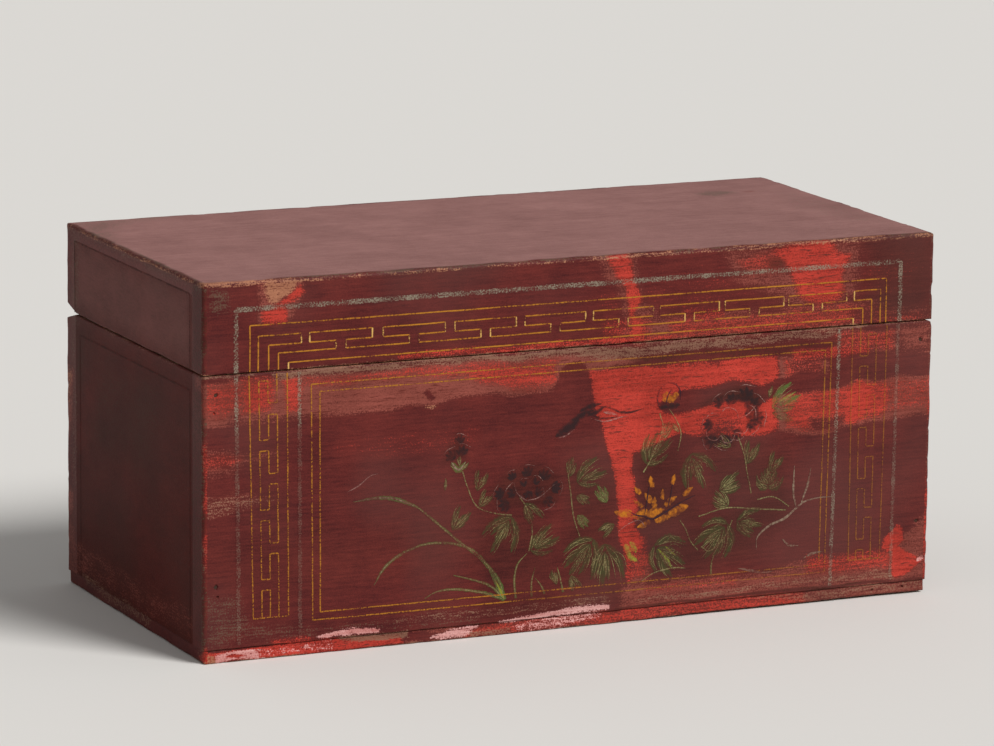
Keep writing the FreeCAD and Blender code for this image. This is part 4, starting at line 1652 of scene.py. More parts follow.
    @staticmethod
    def reach(x: float, z: float, heading: float, length: float) -> Point:
        """The place at a length along a heading in degrees."""
        turn = math.radians(heading)
        return x + length * math.cos(turn), z + length * math.sin(turn)

    def paint_leaf(self, leaf: Leaf, wash: Brushwork, vein: Brushwork) -> None:
        """Paints one cut leaf: an uneven dab for each lobe, set along its rib, and dry hairs fanned over it.

        Args:
            leaf: the leaf.
            wash: the brush of its lobes.
            vein: the brush of its hairs.
        """
        by_x, by_z, by_lobe = self.leaf_unlike
        bend, tip_bend = self.lobe_bends
        whole, off_rib, ragged = self.lobe_reach
        wide, wider, least = self.lobe_width
        near, near_step = self.hair_near
        far, far_step = self.hair_far
        hair_bend, hair_sway, hair_tip = self.hair_bends
        middle = (leaf.lobes - 1) / 2
        for lobe in range(leaf.lobes):
            off = lobe - middle
            unlike = math.sin(by_x * leaf.x + by_z * leaf.z + by_lobe * lobe)
            heading = leaf.heading + off * leaf.spread + self.lobe_sway * unlike
            inner = self.rib_share * leaf.length * (1 - abs(off) / (middle + 1))
            foot = self.reach(leaf.x, leaf.z, leaf.heading, inner)
            length = leaf.length * (whole + off_rib * abs(off) + ragged * unlike) - inner
            half_way = self.reach(*foot, heading + bend * off, 0.5 * length)
            tip = self.reach(*foot, heading + tip_bend * off, length)
            wash.stroke(foot, half_way, tip, width=(wide + wider * unlike) * leaf.length + least)
            for hair, turn in enumerate(self.hair_turns):
                start = (near + near_step * ((hair + lobe) % 3)) * length
                end = (far + far_step * ((hair + 2 * lobe) % 4)) * length
                bent = heading + turn + hair_bend * off + hair_sway * unlike
                vein.stroke(
                    self.reach(*foot, heading + turn, start),
                    self.reach(*foot, bent, 0.5 * (start + end)),
                    self.reach(*foot, heading + self.hair_closing * turn + hair_tip * off, end),
                    width=self.hair_width,
                )

    def paint_petal(self, petal: Petal, wash: Brushwork, outline: Brushwork) -> None:
        """Paints one petal: a fan of soft dabs, and a thin scalloped outline along its far side.

        Args:
            petal: the petal.
            wash: the brush of its dabs.
            outline: the brush of its outline.
        """
        by_x, by_z = self.petal_unlike
        whole, aside = self.petal_reach
        edge, scallop = self.rim_reach
        foot = self.reach(petal.x, petal.z, petal.heading + 180, self.petal_foot * petal.size)
        unlike = math.sin(by_x * petal.x + by_z * petal.z)
        sway = self.petal_sway * unlike
        tips = [self.reach(*foot, petal.heading + turn + sway, (whole + aside * abs(turn)) * petal.size)
                for turn in self.petal_turns]
        for tip in tips[:: 2 if petal.size < self.small_petal else 1]:
            wash.stroke(foot, tip, width=self.petal_width * petal.size)
        rim = [self.reach(*foot, petal.heading + turn + sway, (edge + scallop * math.cos(turn)) * petal.size)
               for turn in self.rim_turns]
        outline.stroke(*(rim[:-1] if unlike > 0 else rim), width=self.rim_width)

    def paint_flame(self, petal: Petal, wash: Brushwork) -> None:
        """Paints one flame-shaped petal: a pointed stroke with a shorter one beside it.

        Args:
            petal: the petal.
            wash: its brush.
        """
        wide, narrow = (share * petal.size for share in self.flame_widths)
        tail = self.reach(petal.x, petal.z, petal.heading + 180, self.flame_tail * petal.size)
        tip = self.reach(petal.x, petal.z, petal.heading, self.flame_tip * petal.size)
        bend, beside = (self.reach(petal.x, petal.z, petal.heading + turn, share * petal.size)
                        for turn, share in (self.flame_bend, self.flame_beside))
        wash.stroke(tail, bend, tip, width=wide)
        wash.stroke(tail, beside, width=narrow)

    def build(self, wear: WearMap) -> list[Piece]:
        """Paints the spray.

        Args:
            wear: where the lacquer is worn.

        Returns:
            The painted pieces.
        """
        brush = self.works()
        for leaf in self.leaves:
            self.paint_leaf(leaf, brush["sprig" if leaf.fresh else "leaf"], brush["vein"])
        for petal in (*self.peony_spots, *self.bud_spots, *self.coral_spots):
            self.paint_petal(petal, brush["petal"], brush["outline"])
        for petal in self.orange_spots:
            self.paint_flame(petal, brush["orange"])
        for number, blade in enumerate(self.grass):
            wide = self.blade_width if number < self.long_blades else self.short_blade_width
            brush["sprig"].stroke(*blade, width=wide, swell=Swell.DRAG)
            brush["vein"].stroke(*blade, width=self.stem_width)
        for wide, tip in self.grass_tips:
            brush["sprig"].stroke(*tip, width=wide)
            brush["bark"].stroke(*tip, width=self.tip_line * wide)
        for stem in self.stems:
            brush["vein"].stroke(*stem, width=self.stem_width, swell=Swell.EVEN)
        for limb in self.branch:
            brush["bark"].stroke(*limb)
        for name, strokes in (
            ("lime", self.touches),
            ("petal", self.wings),
            ("ink", self.dark_lines),
            ("outline", self.pale_lines),
        ):
            for width, path in strokes:
                brush[name].stroke(*path, width=width)
        for petal in self.bud_petals:
            brush["orange"].stroke(*petal, width=self.bud_width, swell=Swell.DAB)
        brush["petal"].stroke(*self.bud_cup, width=self.cup_width, swell=Swell.DAB)
        return [work.build(wear) for work in brush.values()]


@dataclass
class SideFrames:
    """The dark lines that frame both ends of the chest and of its lid."""

    width: float = 1.3
    lift: float = 0.08
    lid_rim: float = 165.2
    lid_row: float = 207.5
    body_row: float = 153.0
    foot: float = 9.0
    front: float = -89.0
    lid_back: float = 94.0
    body_back: float = 86.0

    def build(self, wear: WearMap) -> list[Piece]:
        """Paints the lines of both ends.

        Args:
            wear: where the lacquer is worn.

        Returns:
            The painted pieces.
        """
        made = []
        for side, name in ((Side.LEFT, "left"), (Side.RIGHT, "right")):
            lid = Brushwork(f"{name}_lid_frame_line", Body.LID, Slot.LACQUER, UMBER, self.width, self.lift,
                            side=side, seed=20.0)
            lid.line((self.front, self.lid_rim), (self.front, self.lid_row), (self.lid_back, self.lid_row),
                     (self.lid_back, self.lid_rim))
            chest = Brushwork(f"{name}_chest_frame_line", Body.CHEST, Slot.LACQUER, UMBER, self.width,
                              self.lift, side=side, seed=21.0)
            chest.line((self.front, self.foot), (self.front, self.body_row), (self.body_back, self.body_row),
                       (self.body_back, self.foot))
            made += [lid.build(wear), chest.build(wear)]
        return made


@dataclass
class ChestBody:
    """The open box of the chest: four upright boards on a bottom board."""

    corner: float = 2.2
    rim: float = 1.1
    rubbed_rim: float = 4.2
    back_rim: float = 2.8
    foot: float = 0.6
    floor_under: float = 1.4
    floor_top: float = 0.8
    floor_corner: float = 1.6
    floor_warp: float = 1.0
    back_slope: float = 4.2
    front_step: Triple = (1.7, 4.0, 1.7)
    back_step: Triple = (4.0, 4.0, 3.0)
    end_step: Triple = (4.0, 3.0, 3.0)
    floor_step: Triple = (2.0, 5.0, 1.4)
    hinges: tuple[Vector, ...] = ()
    pits: tuple[Pit, ...] = (
        Pit(-222, 153, 1.5, 1.3),
        Pit(-223, 143, 0.9, 1.0),
        Pit(-222, 44, 1.5, 1.3),
        Pit(-221, 38.5, 0.9, 1.0),
        Pit(222, 153, 1.5, 1.3),
        Pit(222, 44, 1.5, 1.3),
    )
    foot_pits: tuple[Pit, ...] = (Pit(194, 3.8, 1.2, 1.2), Pit(214, 4.2, 1.1, 1.2))

    def boards(self) -> list[Board]:
        """Sizes the five boards of the box.

        Returns:
            The boards, not yet built.
        """
        ends = (Side.LEFT, Side.RIGHT)
        made = []
        for node, face in (("front_board", Side.FRONT), ("back_board", Side.BACK)):
            front = face is Side.FRONT
            arrises = [Arris(face, end, self.corner) for end in ends]
            arrises += [Arris(Side.LEFT, Side.TOP, self.rim), Arris(Side.RIGHT, Side.TOP, self.rubbed_rim)]
            arrises.append(Arris(face, Side.TOP, self.rim if front else self.back_rim))
            arrises.append(Arris(face, Side.UNDER, self.foot))
            made.append(Board(node, Body.CHEST, (face, *ends), tuple(arrises), LONG_LACQUER, LONG_WOOD,
                              step=self.front_step if front else self.back_step,
                              pits=self.pits if front else (),
                              slope=None if front else Slope(Side.TOP, self.back_slope),
                              notches=() if front else self.hinges))
        for node, face in (("left_side_board", Side.LEFT), ("right_side_board", Side.RIGHT)):
            arrises = (Arris(face, Side.TOP, self.rim), Arris(face, Side.UNDER, self.foot))
            made.append(Board(node, Body.CHEST, (face,), arrises, SHADED_END_LACQUER, SIDE_WOOD, step=self.end_step))
        round_about = (Side.FRONT, Side.BACK, *ends)
        arrises = [Arris(side, Side.UNDER, self.floor_under) for side in round_about]
        arrises += [Arris(side, Side.TOP, self.floor_top) for side in round_about]
        arrises += [Arris(face, end, self.floor_corner) for face in (Side.FRONT, Side.BACK) for end in ends]
        made.append(Board("bottom_board", Body.CHEST, round_about, tuple(arrises), LONG_LACQUER, LONG_WOOD,
                          step=self.floor_step, pits=self.foot_pits, warp=self.floor_warp))
        return made

    def build(self, wear: WearMap) -> list[Piece]:
        """Makes all the boards of the box."""
        return [board.build(wear) for board in self.boards()]


@dataclass
class ChestLid:
    """The shallow lid: four rails under a top board."""

    corner: float = 2.6
    rim: float = 1.2
    top_edge: float = 2.2
    rubbed_edge: float = 3.6
    back_rim: float = 3.2
    back_slope: float = 4.6
    front_step: Triple = (1.6, 4.0, 1.4)
    back_step: Triple = (4.0, 4.0, 3.0)
    end_step: Triple = (4.0, 3.0, 3.0)
    top_step: Triple = (2.5, 2.5, 3.0)
    hinges: tuple[Vector, ...] = ()

    def boards(self) -> list[Board]:
        """Sizes the five boards of the lid.

        Returns:
            The boards, not yet built.
        """
        ends = (Side.LEFT, Side.RIGHT)
        made = []
        for node, face in (("lid_front_rail", Side.FRONT), ("lid_back_rail", Side.BACK)):
            front = face is Side.FRONT
            arrises = [Arris(face, end, self.corner) for end in ends]
            arrises += [Arris(side, Side.UNDER, self.rim) for side in ends]
            arrises += [Arris(face, Side.UNDER, self.rim if front else self.back_rim)]
            made.append(Board(node, Body.LID, (face, *ends), tuple(arrises), LONG_LACQUER, LONG_WOOD,
                              step=self.front_step if front else self.back_step,
                              slope=None if front else Slope(Side.UNDER, self.back_slope),
                              notches=() if front else self.hinges))
        for node, face in (("lid_left_rail", Side.LEFT), ("lid_right_rail", Side.RIGHT)):
            arrises = (Arris(face, Side.UNDER, self.rim),)
            made.append(Board(node, Body.LID, (face,), arrises, SHADED_END_LACQUER, SIDE_WOOD, step=self.end_step))
        round_about = (Side.FRONT, Side.BACK, *ends)
        arrises = [Arris(face, end, self.corner) for face in (Side.FRONT, Side.BACK) for end in ends]
        arrises += [Arris(side, Side.TOP, self.top_edge) for side in round_about if side is not Side.RIGHT]
        arrises.append(Arris(Side.RIGHT, Side.TOP, self.rubbed_edge))
        made.append(Board("lid_top_board", Body.LID, (*round_about, Side.TOP), tuple(arrises), LONG_LACQUER,
                          LONG_WOOD, step=self.top_step))
        return made

    def build(self, wear: WearMap) -> list[Piece]:
        """Makes all the boards of the lid."""
        return [board.build(wear) for board in self.boards()]


@dataclass
class IronFittings:
    """The nails and the linked hinge eyes, which keep the CAD part's own shapes."""

    words: tuple[str, ...] = ("nails", "eye")

    def nodes(self) -> list[str]:
        """The names of the iron nodes of the frame."""
        return [name for name in frame["nodes"] if name.endswith(self.words)]

    def build(self) -> None:
        """Gives the iron its rusted finish."""
        for name in self.nodes():
            mesh = frame["nodes"][name].data
            mesh.materials.clear()
            mesh.materials.append(IRON.material())
            LOG.info("iron %s", name)


FRONT_WORN: tuple[Worn, ...] = (
    # The chest: a chalky band under the rim, with redder places in it.
    Worn(ROSE, ((-230, 161), (-60, 161), (24, 160), (40, 154), (10, 150), (-14, 141), (-40, 140),
         (-75, 140.5), (-95, 138), (-125, 137), (-165, 135.5), (-200, 135), (-230, 136)), 0.86, 3.0),
    Worn(RED, ((-230, 161), (-205, 160), (-203, 146), (-215, 140), (-230, 141)), 0.46, 5.0),
    Worn(RED, ((-206, 161), (-186, 161), (-188, 142), (-206, 140)), 0.6, 4.0),
    Worn(RED, ((-182, 160), (-170, 160), (-171, 142), (-179, 140)), 0.64, 3.0),
    Worn(RED, ((-170, 160), (-60, 160), (-60, 154), (-170, 153)), 0.42, 3.5),
    Worn(RED, ((-80, 159), (-12, 158), (-13, 143), (-30, 142), (-62, 147)), 0.6, 5.0),
    Worn(VARNISH, ((-214, 139), (-150, 140), (-150, 134), (-214, 133)), 0.36, 4.0),
    Worn(VARNISH, ((-96.5, 146.5), (-92, 148), (-89, 143), (-92.5, 141.5)), 1.0, 0.9),
    Worn(TAN, ((-97, 139.5), (-88, 139), (-88, 136.5), (-96, 137)), 0.6, 1.0),
    Worn(ROSE, ((-230, 122), (-214, 123), (-198, 118), (-210, 108), (-230, 106)), 0.5, 4.0),
    Worn(RED, ((-230, 119), (-216, 120), (-205, 116), (-214, 111), (-230, 110)), 0.46, 4.0),
    Worn(ROSE, ((-206, 118), (-184, 120), (-186, 115), (-204, 112)), 0.4, 3.0),
    Worn(ROSE, ((-230, 97), (-208, 98), (-182, 93), (-206, 86), (-230, 83)), 0.42, 5.0),
    Worn(BARE, ((-230, 97), (-206, 96), (-184, 91), (-210, 85), (-230, 83)), 0.36, 5.0),
    Worn(RED, ((-158, 124), (-60, 130), (-50, 112), (-90, 104), (-158, 112)), 0.2, 12.0),
    Worn(GRIME, ((-230, 40), (-208, 38), (-200, 20), (-150, 15), (-60, 18), (-60, 10), (-230, 9)), 0.4, 8.0),
    # The chest: the large red field, the bar of varnish left across it, and its narrow tail.
    Worn(RED, ((2, 151), (60, 150.5), (110, 150), (128, 149.5), (134, 146), (136, 137), (134, 128),
         (140, 120), (140, 105), (120, 105), (85, 107), (62, 108), (50, 104), (36, 101), (34, 90), (37, 72),
         (40, 60), (43, 45), (48, 30), (45, 22), (24, 22), (15, 90), (2, 130)), 0.86, 2.2),
    Worn(ROSE, ((128, 150), (160, 148), (165, 131), (200, 133), (230, 132), (230, 108), (200, 106),
         (175, 105), (160, 101), (145, 102), (128, 105)), 0.84, 3.0),
    Worn(RED, ((132, 148), (158, 147), (158, 131), (176, 131), (200, 131), (204, 120), (198, 108), (175, 107),
         (160, 103), (145, 104), (134, 106)), 0.6, 4.0),
    Worn(RED, ((171, 128), (182, 131), (192, 128), (190, 112), (180, 106), (171, 107)), 0.84, 3.0),
    Worn(RED, ((200, 131), (230, 130), (230, 112), (202, 110)), 0.36, 6.0),
    Worn(VARNISH, ((52, 127), (66, 135), (85, 135.5), (100, 138.5), (118, 135), (134, 137.5), (160, 138),
         (178, 147), (204, 148), (230, 146), (230, 132), (200, 132), (176, 131), (160, 128), (140, 127),
         (126, 125), (114, 120), (108, 124.5), (90, 124.5), (75, 121.5), (56, 121)), 0.86, 1.8),
    Worn(VARNISH, ((134, 149), (160, 149), (160, 128), (140, 128), (136, 138)), 0.4, 5.0),
    Worn(VARNISH, ((-60, 132), (-15, 138), (-14, 145), (-11, 150), (-6, 155), (0, 156.5), (5, 152.5),
         (8, 146), (9, 140), (11, 132), (14, 120), (18, 108), (21, 95), (24, 80), (26.5, 65), (28.5, 52),
         (30, 40), (33, 22), (-60, 22)), 1.0, 1.3),
    Worn(ROSE, ((33, 40), (43, 42), (48, 30), (45, 22), (34, 22)), 0.66, 4.0),
    Worn(VARNISH, ((37, 61), (60, 60), (60, 42), (43, 42)), 0.75, 2.0),
    Worn(RED, ((31, 48), (44, 50), (46, 34), (42, 26), (33, 25)), 0.46, 4.0),
    Worn(ROSE, ((162, 162), (210, 163), (208, 147), (166, 149)), 0.5, 5.0),
    Worn(RED, ((165, 160), (206, 161), (204, 149), (168, 150)), 0.44, 5.0),
    Worn(ROSE, ((204, 163), (230, 163), (230, 144), (212, 148)), 0.64, 6.0),
    Worn(SOOT, ((28, 157), (60, 157.5), (140, 156.5), (174, 156), (174, 152), (120, 151),
         (36, 152)), 0.52, 2.4),
    Worn(BARE, ((-190, 164.5), (176, 164.5), (168, 159), (110, 157), (60, 156.5), (24, 156), (-10, 159),
         (-90, 160.5), (-186, 160)), 0.72, 2.4),
    Worn(SHADE, ((-20, 160), (60, 158), (150, 159), (172, 162), (172, 164.5), (100, 163),
         (-20, 163)), 0.2, 3.0),
    # The chest: the rubbed band above the foot, and the red at the lower right corner.
    Worn(ROSE, ((28, 22), (60, 24), (120, 22), (170, 28), (206, 28), (230, 50), (230, 8), (28, 8)), 0.68, 5.0),
    Worn(RED, ((44, 22), (104, 23), (104, 16), (44, 16)), 0.3, 4.0),
    Worn(RED, ((148, 28), (206, 30), (206, 16), (150, 18)), 0.5, 5.0),
    Worn(BARE, ((34, 14.5), (120, 15), (172, 15), (210, 16), (208, 10.5), (120, 11.5), (40, 11)), 0.5, 2.0),
    Worn(BARE, ((-116, 17), (20, 18), (22, 12.5), (-110, 12)), 0.36, 3.0),
    Worn(RED, ((200, 30), (203, 36), (208, 41.5), (212, 40), (215, 33), (211, 29), (214, 26), (219, 22.5),
         (226, 19), (222, 16.5), (216, 12.5), (209, 11.5), (206, 18), (207, 26)), 1.0, 1.4),
    Worn(CHIP, ((221, 20), (230, 23), (230, 20), (223, 18.4)), 1.0, 0.8),
    Worn(SOOT, ((24, 9.6), (120, 10.5), (230, 9), (230, 7.4), (110, 8), (24, 7.6)), 0.62, 0.9),
    # The bottom board's edge: red, chipped to the pale ground at the left.
    Worn(RED, oblong(-230, 7.5, -108, 0), 0.75, 1.2),
    Worn(ROSE, oblong(-108, 8, 230, 0), 0.62, 1.2),
    Worn(RED, oblong(-70, 8, 150, 0), 0.5, 2.0),
    Worn(VARNISH, ((-110, 8), (-92, 7), (-84, 3), (-92, 0), (-106, 2)), 0.9, 2.0),
    Worn(TAN, ((-230, 6), (-222, 6), (-220, 1), (-230, 0)), 0.7, 1.6),
    Worn(CHIP, ((-222, 6), (-206, 7), (-196, 5.5), (-196, 2), (-208, 0.5), (-222, 1)), 0.95, 1.4),
    Worn(RED, ((-217, 4), (-211, 5), (-204, 3), (-210, 1.6)), 0.9, 0.9),
    Worn(CHIP, ((-198, 6), (-176, 7), (-150, 6.6), (-150, 2), (-198, 1)), 0.3, 2.0),
    Worn(CHIP, ((-170, 6.5), (-166, 6.5), (-166, 4), (-169, 4)), 0.9, 0.8),
    Worn(CHIP, ((-161, 9.2), (-150, 11.4), (-136, 12.6), (-122, 11.8), (-123, 9.6), (-140, 8.6),
         (-159, 7.6)), 0.95, 1.0),
    Worn(RED, ((-188, 10.5), (-170, 10.8), (-160, 8), (-160, 6.5), (-188, 6.5)), 0.6, 1.6),
    Worn(BARE, ((-150, 8.2), (-124, 9.2), (-104, 8.4), (-104, 4), (-122, 4.2), (-146, 5.2)), 0.8, 1.4),
    Worn(CHIP, ((-90, 2), (-78, 6), (-66, 8.5), (-60, 8), (-70, 1), (-84, 0)), 0.86, 1.6),
    Worn(BARE, ((-68, 5), (-40, 5), (-40, 0), (-66, 0)), 0.56, 2.0),
    Worn(CHIP, ((-40, 6), (-10, 8.5), (16, 9), (16, 4), (-10, 0), (-36, 0)), 0.46, 3.0),
    Worn(CHIP, ((-48, 9.4), (-24, 11.6), (-6, 12.6), (21, 11.8), (21, 8.5), (-46, 8.2)), 0.86, 1.2),
    Worn(BARE, ((110, 7), (230, 7.5), (228, 3), (150, 2)), 0.46, 2.5),
    # The lid: the rubbed spot at the left, the slanting streak, and the broad red at the right.
    Worn(RED, oblong(0, 213, 230, 165), 0.18, 20.0),
    Worn(ROSE, ((-198, 217), (-168, 217), (-168, 209), (-178, 192), (-196, 191)), 0.62, 3.0),
    Worn(TAN, ((-195, 217), (-174, 217), (-172, 212), (-180, 205), (-187, 200), (-191, 204)), 0.74, 3.0),
    Worn(RED, ((-183, 202), (-177, 208), (-171, 213.5), (-168, 209), (-176, 202.5), (-180, 200), (-180, 192),
         (-193, 191), (-194, 198)), 0.78, 2.4),
    Worn(ROSE, ((8, 217), (36, 217), (42, 190), (56, 176), (48, 165), (26, 166), (26, 190)), 0.5, 5.0),
    Worn(RED, ((15, 217), (31, 217), (33.5, 210), (35, 203), (38, 196), (40.5, 190), (37, 184), (35, 180.5),
         (41, 178.5), (54, 175), (46, 171), (44, 166), (32, 167), (32.5, 176), (31.5, 186), (29, 195),
         (23, 206)), 0.78, 2.4),
    Worn(ROSE, ((92, 214), (180, 215), (180, 180), (150, 170), (118, 188), (96, 200)), 0.56, 8.0),
    Worn(RED, ((122, 212), (140, 217), (160, 217), (165, 210), (174, 206.5), (172, 202), (170, 195),
         (171, 186), (166, 178), (160, 174), (150, 176), (140, 186), (136, 196), (131, 204)), 0.74, 4.0),
    Worn(RED, ((98, 209), (131, 213), (130, 198), (108, 199)), 0.4, 5.0),
    Worn(SOOT, ((119, 209), (133, 208), (134, 200), (121, 199)), 0.5, 4.0),
    Worn(ROSE, ((40, 178), (190, 180), (228, 172), (228, 164), (40, 164)), 0.6, 5.0),
    Worn(RED, ((56, 176), (186, 178), (224, 170), (224, 164), (56, 164)), 0.46, 6.0),
    Worn(RED, ((-112, 167.6), (-60, 169), (30, 168.5), (60, 169), (60, 164), (-112, 164)), 0.52, 2.4),
    Worn(TAN, ((-230, 217), (-196, 217), (-196, 214.2), (-212, 213.4), (-230, 212.6)), 0.62, 1.2),
    Worn(GRIME, ((-228, 213), (-216, 213), (-214, 200), (-226, 198)), 0.46, 4.0),
    Worn(TAN, ((-4, 217), (230, 217), (230, 215.4), (60, 215.2), (-4, 215.8)), 0.56, 1.0),
    # Small places where the red runs on, or the dark varnish has held.
    Worn(RED, oblong(138, 152.5, 188, 146), 0.5, 3.0),
    Worn(RED, oblong(66, 182, 92, 174), 0.4, 4.0),
    Worn(RED, oblong(148, 174, 172, 166), 0.45, 4.0),
    Worn(RED, oblong(14, 180, 46, 167), 0.35, 4.0),
    Worn(VARNISH, ((150, 112.5), (172, 113), (172, 104), (150, 104)), 0.5, 3.0),
    Worn(VARNISH, ((76, 115), (104, 115), (105, 105), (78, 104)), 0.32, 4.0),
    Worn(VARNISH, ((174, 182), (228, 180), (228, 166), (178, 166)), 0.36, 5.0),
    Worn(VARNISH, oblong(112, 182, 128, 174), 0.36, 4.0),
    Worn(VARNISH, ((70, 153), (92, 153), (92, 147), (70, 148)), 0.34, 3.0),
    # Shade under the painted spray, and the smoky right end of the lid.
    Worn(SHADE, ((-54, 74), (-54, 84), (-44, 96), (-28, 100), (-12, 94), (-8, 84), (-14, 74),
         (-34, 73)), 0.5, 5.0),
    Worn(SHADE, ((-84, 104), (-80, 112), (-74, 121), (-68, 112), (-70, 104)), 0.42, 4.0),
    Worn(SHADE, ((80, 124), (92, 132), (108, 134), (117, 126), (118, 110), (108, 110), (110, 122),
         (96, 127)), 0.6, 4.0),
    Worn(SHADE, ((78, 106), (90, 108), (104, 104), (102, 98), (86, 98)), 0.5, 4.0),
    Worn(SHADE, ((-62, 72), (-30, 72), (-8, 52), (-14, 34), (-44, 26), (-66, 44)), 0.34, 14.0),
    Worn(SHADE, ((-8, 94), (22, 92), (28, 40), (24, 24), (-8, 24)), 0.38, 10.0),
    Worn(SHADE, ((36, 100), (66, 102), (76, 78), (80, 56), (36, 52), (40, 70)), 0.44, 8.0),
    Worn(SHADE, ((44, 50), (80, 56), (132, 74), (138, 60), (112, 34), (80, 26), (44, 28)), 0.42, 10.0),
    Worn(SHADE, ((84, 98), (134, 94), (134, 74), (84, 70)), 0.34, 10.0),
    Worn(SHADE, ((184, 214), (230, 214), (230, 168), (192, 168)), 0.36, 12.0),
    Worn(SHADE, oblong(-228, 72, -70, 40), 0.13, 14.0),
    Worn(SHADE, ((-60, 10), (30, 12), (30, 22), (-60, 22)), 0.22, 6.0),
    # Where the painted lines have gone thin.
    Worn(LOST, oblong(173, 165, 230, 8), 0.68, 2.0),
    Worn(LOST, oblong(150, 160, 166, 28), 0.44, 2.0),
    Worn(LOST, ((0, 162), (150, 160), (150, 148), (0, 148)), 0.5, 6.0),
    Worn(LOST, oblong(-213, 132, -206, 8), 0.84, 3.0),
    Worn(LOST, oblong(-177, 132, -167, 8), 0.88, 3.0),
    Worn(LOST, ((-146, 90), (-146, 98), (-122, 105), (-120, 98)), 0.5, 2.0),
    Worn(LOST, oblong(166, 84, 172, 8), 0.3, 3.0),
    Worn(LOST, oblong(202, 165, 210, 8), 0.7, 2.0),
    Worn(LOST, ((-40, 24), (164, 28), (164, 14), (-40, 14)), 0.6, 4.0),
    Worn(LOST, oblong(20, 188, 190, 166), 0.14, 4.0),
)
LEFT_WORN: tuple[Worn, ...] = (
    Worn(FADED, ((-90, 208), (92, 208), (96, 167), (-90, 167)), 0.3, 12.0),
    Worn(SOOT, oblong(-110, 217, -92, 10), 0.5, 3.0),
    Worn(GRIME, ((-107, 214), (-95, 214), (-96, 110), (-107, 100)), 0.08, 5.0),
    Worn(GRIME, ((84, 217), (101, 217), (101, 60), (92, 60)), 0.36, 6.0),
    Worn(GRIME, ((-110, 217), (110, 217), (110, 211), (-110, 210)), 0.4, 4.0),
    Worn(SOOT, ((-60, 150), (60, 150), (80, 60), (20, 90), (-40, 70)), 0.34, 20.0),
    Worn(RED, ((-110, 126), (-107.6, 124), (-107.4, 60), (-110, 50)), 0.5, 1.4),
    Worn(RED, ((-110, 11), (-106, 9), (-103, 6), (-98, 2), (-110, 0)), 0.6, 2.0),
    # Painted light: the foot of the left end is painted a little redder and lighter, as if lit from the floor
    # below.
    Worn(ROSE, oblong(-100, 30, 106, 8), 0.3, 10.0),
    Worn(SOOT, ((76, 152), (92, 154), (94, 120), (84, 116)), 0.5, 6.0),
    Worn(ROSE, ((96, 130), (110, 132), (110, 84), (104, 92), (98, 112)), 0.6, 3.0),
    Worn(TAN, ((99, 128), (110, 130), (110, 104), (105, 108), (102, 117)), 0.42, 2.4),
    Worn(ROSE, ((100, 58), (110, 58), (110, 40), (98, 44)), 0.66, 2.0),
    Worn(ROSE, ((96, 36), (110, 40), (110, 4), (90, 5)), 0.5, 4.0),
    Worn(SHADE, ((-40, 140), (40, 146), (70, 100), (30, 84), (-20, 100)), 0.22, 16.0),
    Worn(ROSE, ((-110, 162), (-96, 163), (-96, 156), (-110, 152)), 0.5, 3.0),
    Worn(BARE, ((-24, 9), (84, 12), (84, 3), (-24, 2)), 0.46, 4.0),
    Worn(BARE, oblong(-106, 8, -96, 2), 0.3, 3.0),
)
RIGHT_WORN: tuple[Worn, ...] = (
    Worn(GRIME, oblong(-110, 217, 110, 210), 0.5, 4.0),
    Worn(GRIME, ((86, 217), (110, 217), (110, 40), (94, 60)), 0.5, 6.0),
    Worn(RED, ((-110, 64), (-101, 52), (-97, 30), (-88, 10), (-110, 8)), 0.66, 4.0),
    Worn(ROSE, ((-110, 152), (-70, 150), (-20, 146), (30, 150), (30, 158), (-110, 160)), 0.5, 6.0),
    Worn(RED, ((-110, 130), (-92, 128), (-80, 118), (-94, 108), (-110, 108)), 0.6, 4.0),
    Worn(RED, ((20, 100), (60, 104), (76, 96), (50, 90), (24, 92)), 0.4, 6.0),
    Worn(BARE, oblong(-105, 9, 108, 2), 0.46, 3.0),
)
BACK_WORN: tuple[Worn, ...] = (
    Worn(GRIME, oblong(-230, 217, 230, 206), 0.5, 6.0),
    Worn(ROSE, ((-180, 90), (-60, 98), (40, 92), (30, 80), (-90, 78), (-170, 82)), 0.42, 8.0),
    Worn(RED, ((60, 60), (140, 66), (200, 58), (190, 44), (110, 42)), 0.42, 9.0),
    Worn(ROSE, ((-230, 30), (-120, 24), (0, 28), (120, 22), (230, 28), (230, 9), (-230, 9)), 0.46, 6.0),
    Worn(BARE, oblong(-230, 9, 230, 1), 0.46, 3.0),
)
TOP_WORN: tuple[Worn, ...] = (
    # The whole top is painted a paler mauve: fading and dust, with a painted sheen and the painted light that
    # falls on the top.
    Worn(FADED, oblong(-227.6, -106.6, 227.6, 106.6), 1.0, 1.2),
    Worn(GRIME, ((-230, 109), (-140, 109), (-176, 98), (-206, 84), (-220, 50), (-230, 20)), 0.5, 14.0),
    Worn(GRIME, ((-20, 110), (120, 110), (120, 102), (-20, 104)), 0.46, 6.0),
    Worn(GRIME, ((230, -80), (196, -60), (186, 0), (204, 60), (230, 80)), 0.26, 18.0),
    Worn(GRIME, ((160, 66), (170, 73), (184, 67), (187, 57), (175, 50), (162, 54)), 0.56, 6.0),
    Worn(ROSE, ((190, 65), (199, 67), (201, 60), (192, 57)), 0.42, 3.5),
    Worn(TAN, ((-230, -109), (-196, -109), (-200, -104), (-230, -102)), 0.62, 2.0),
)


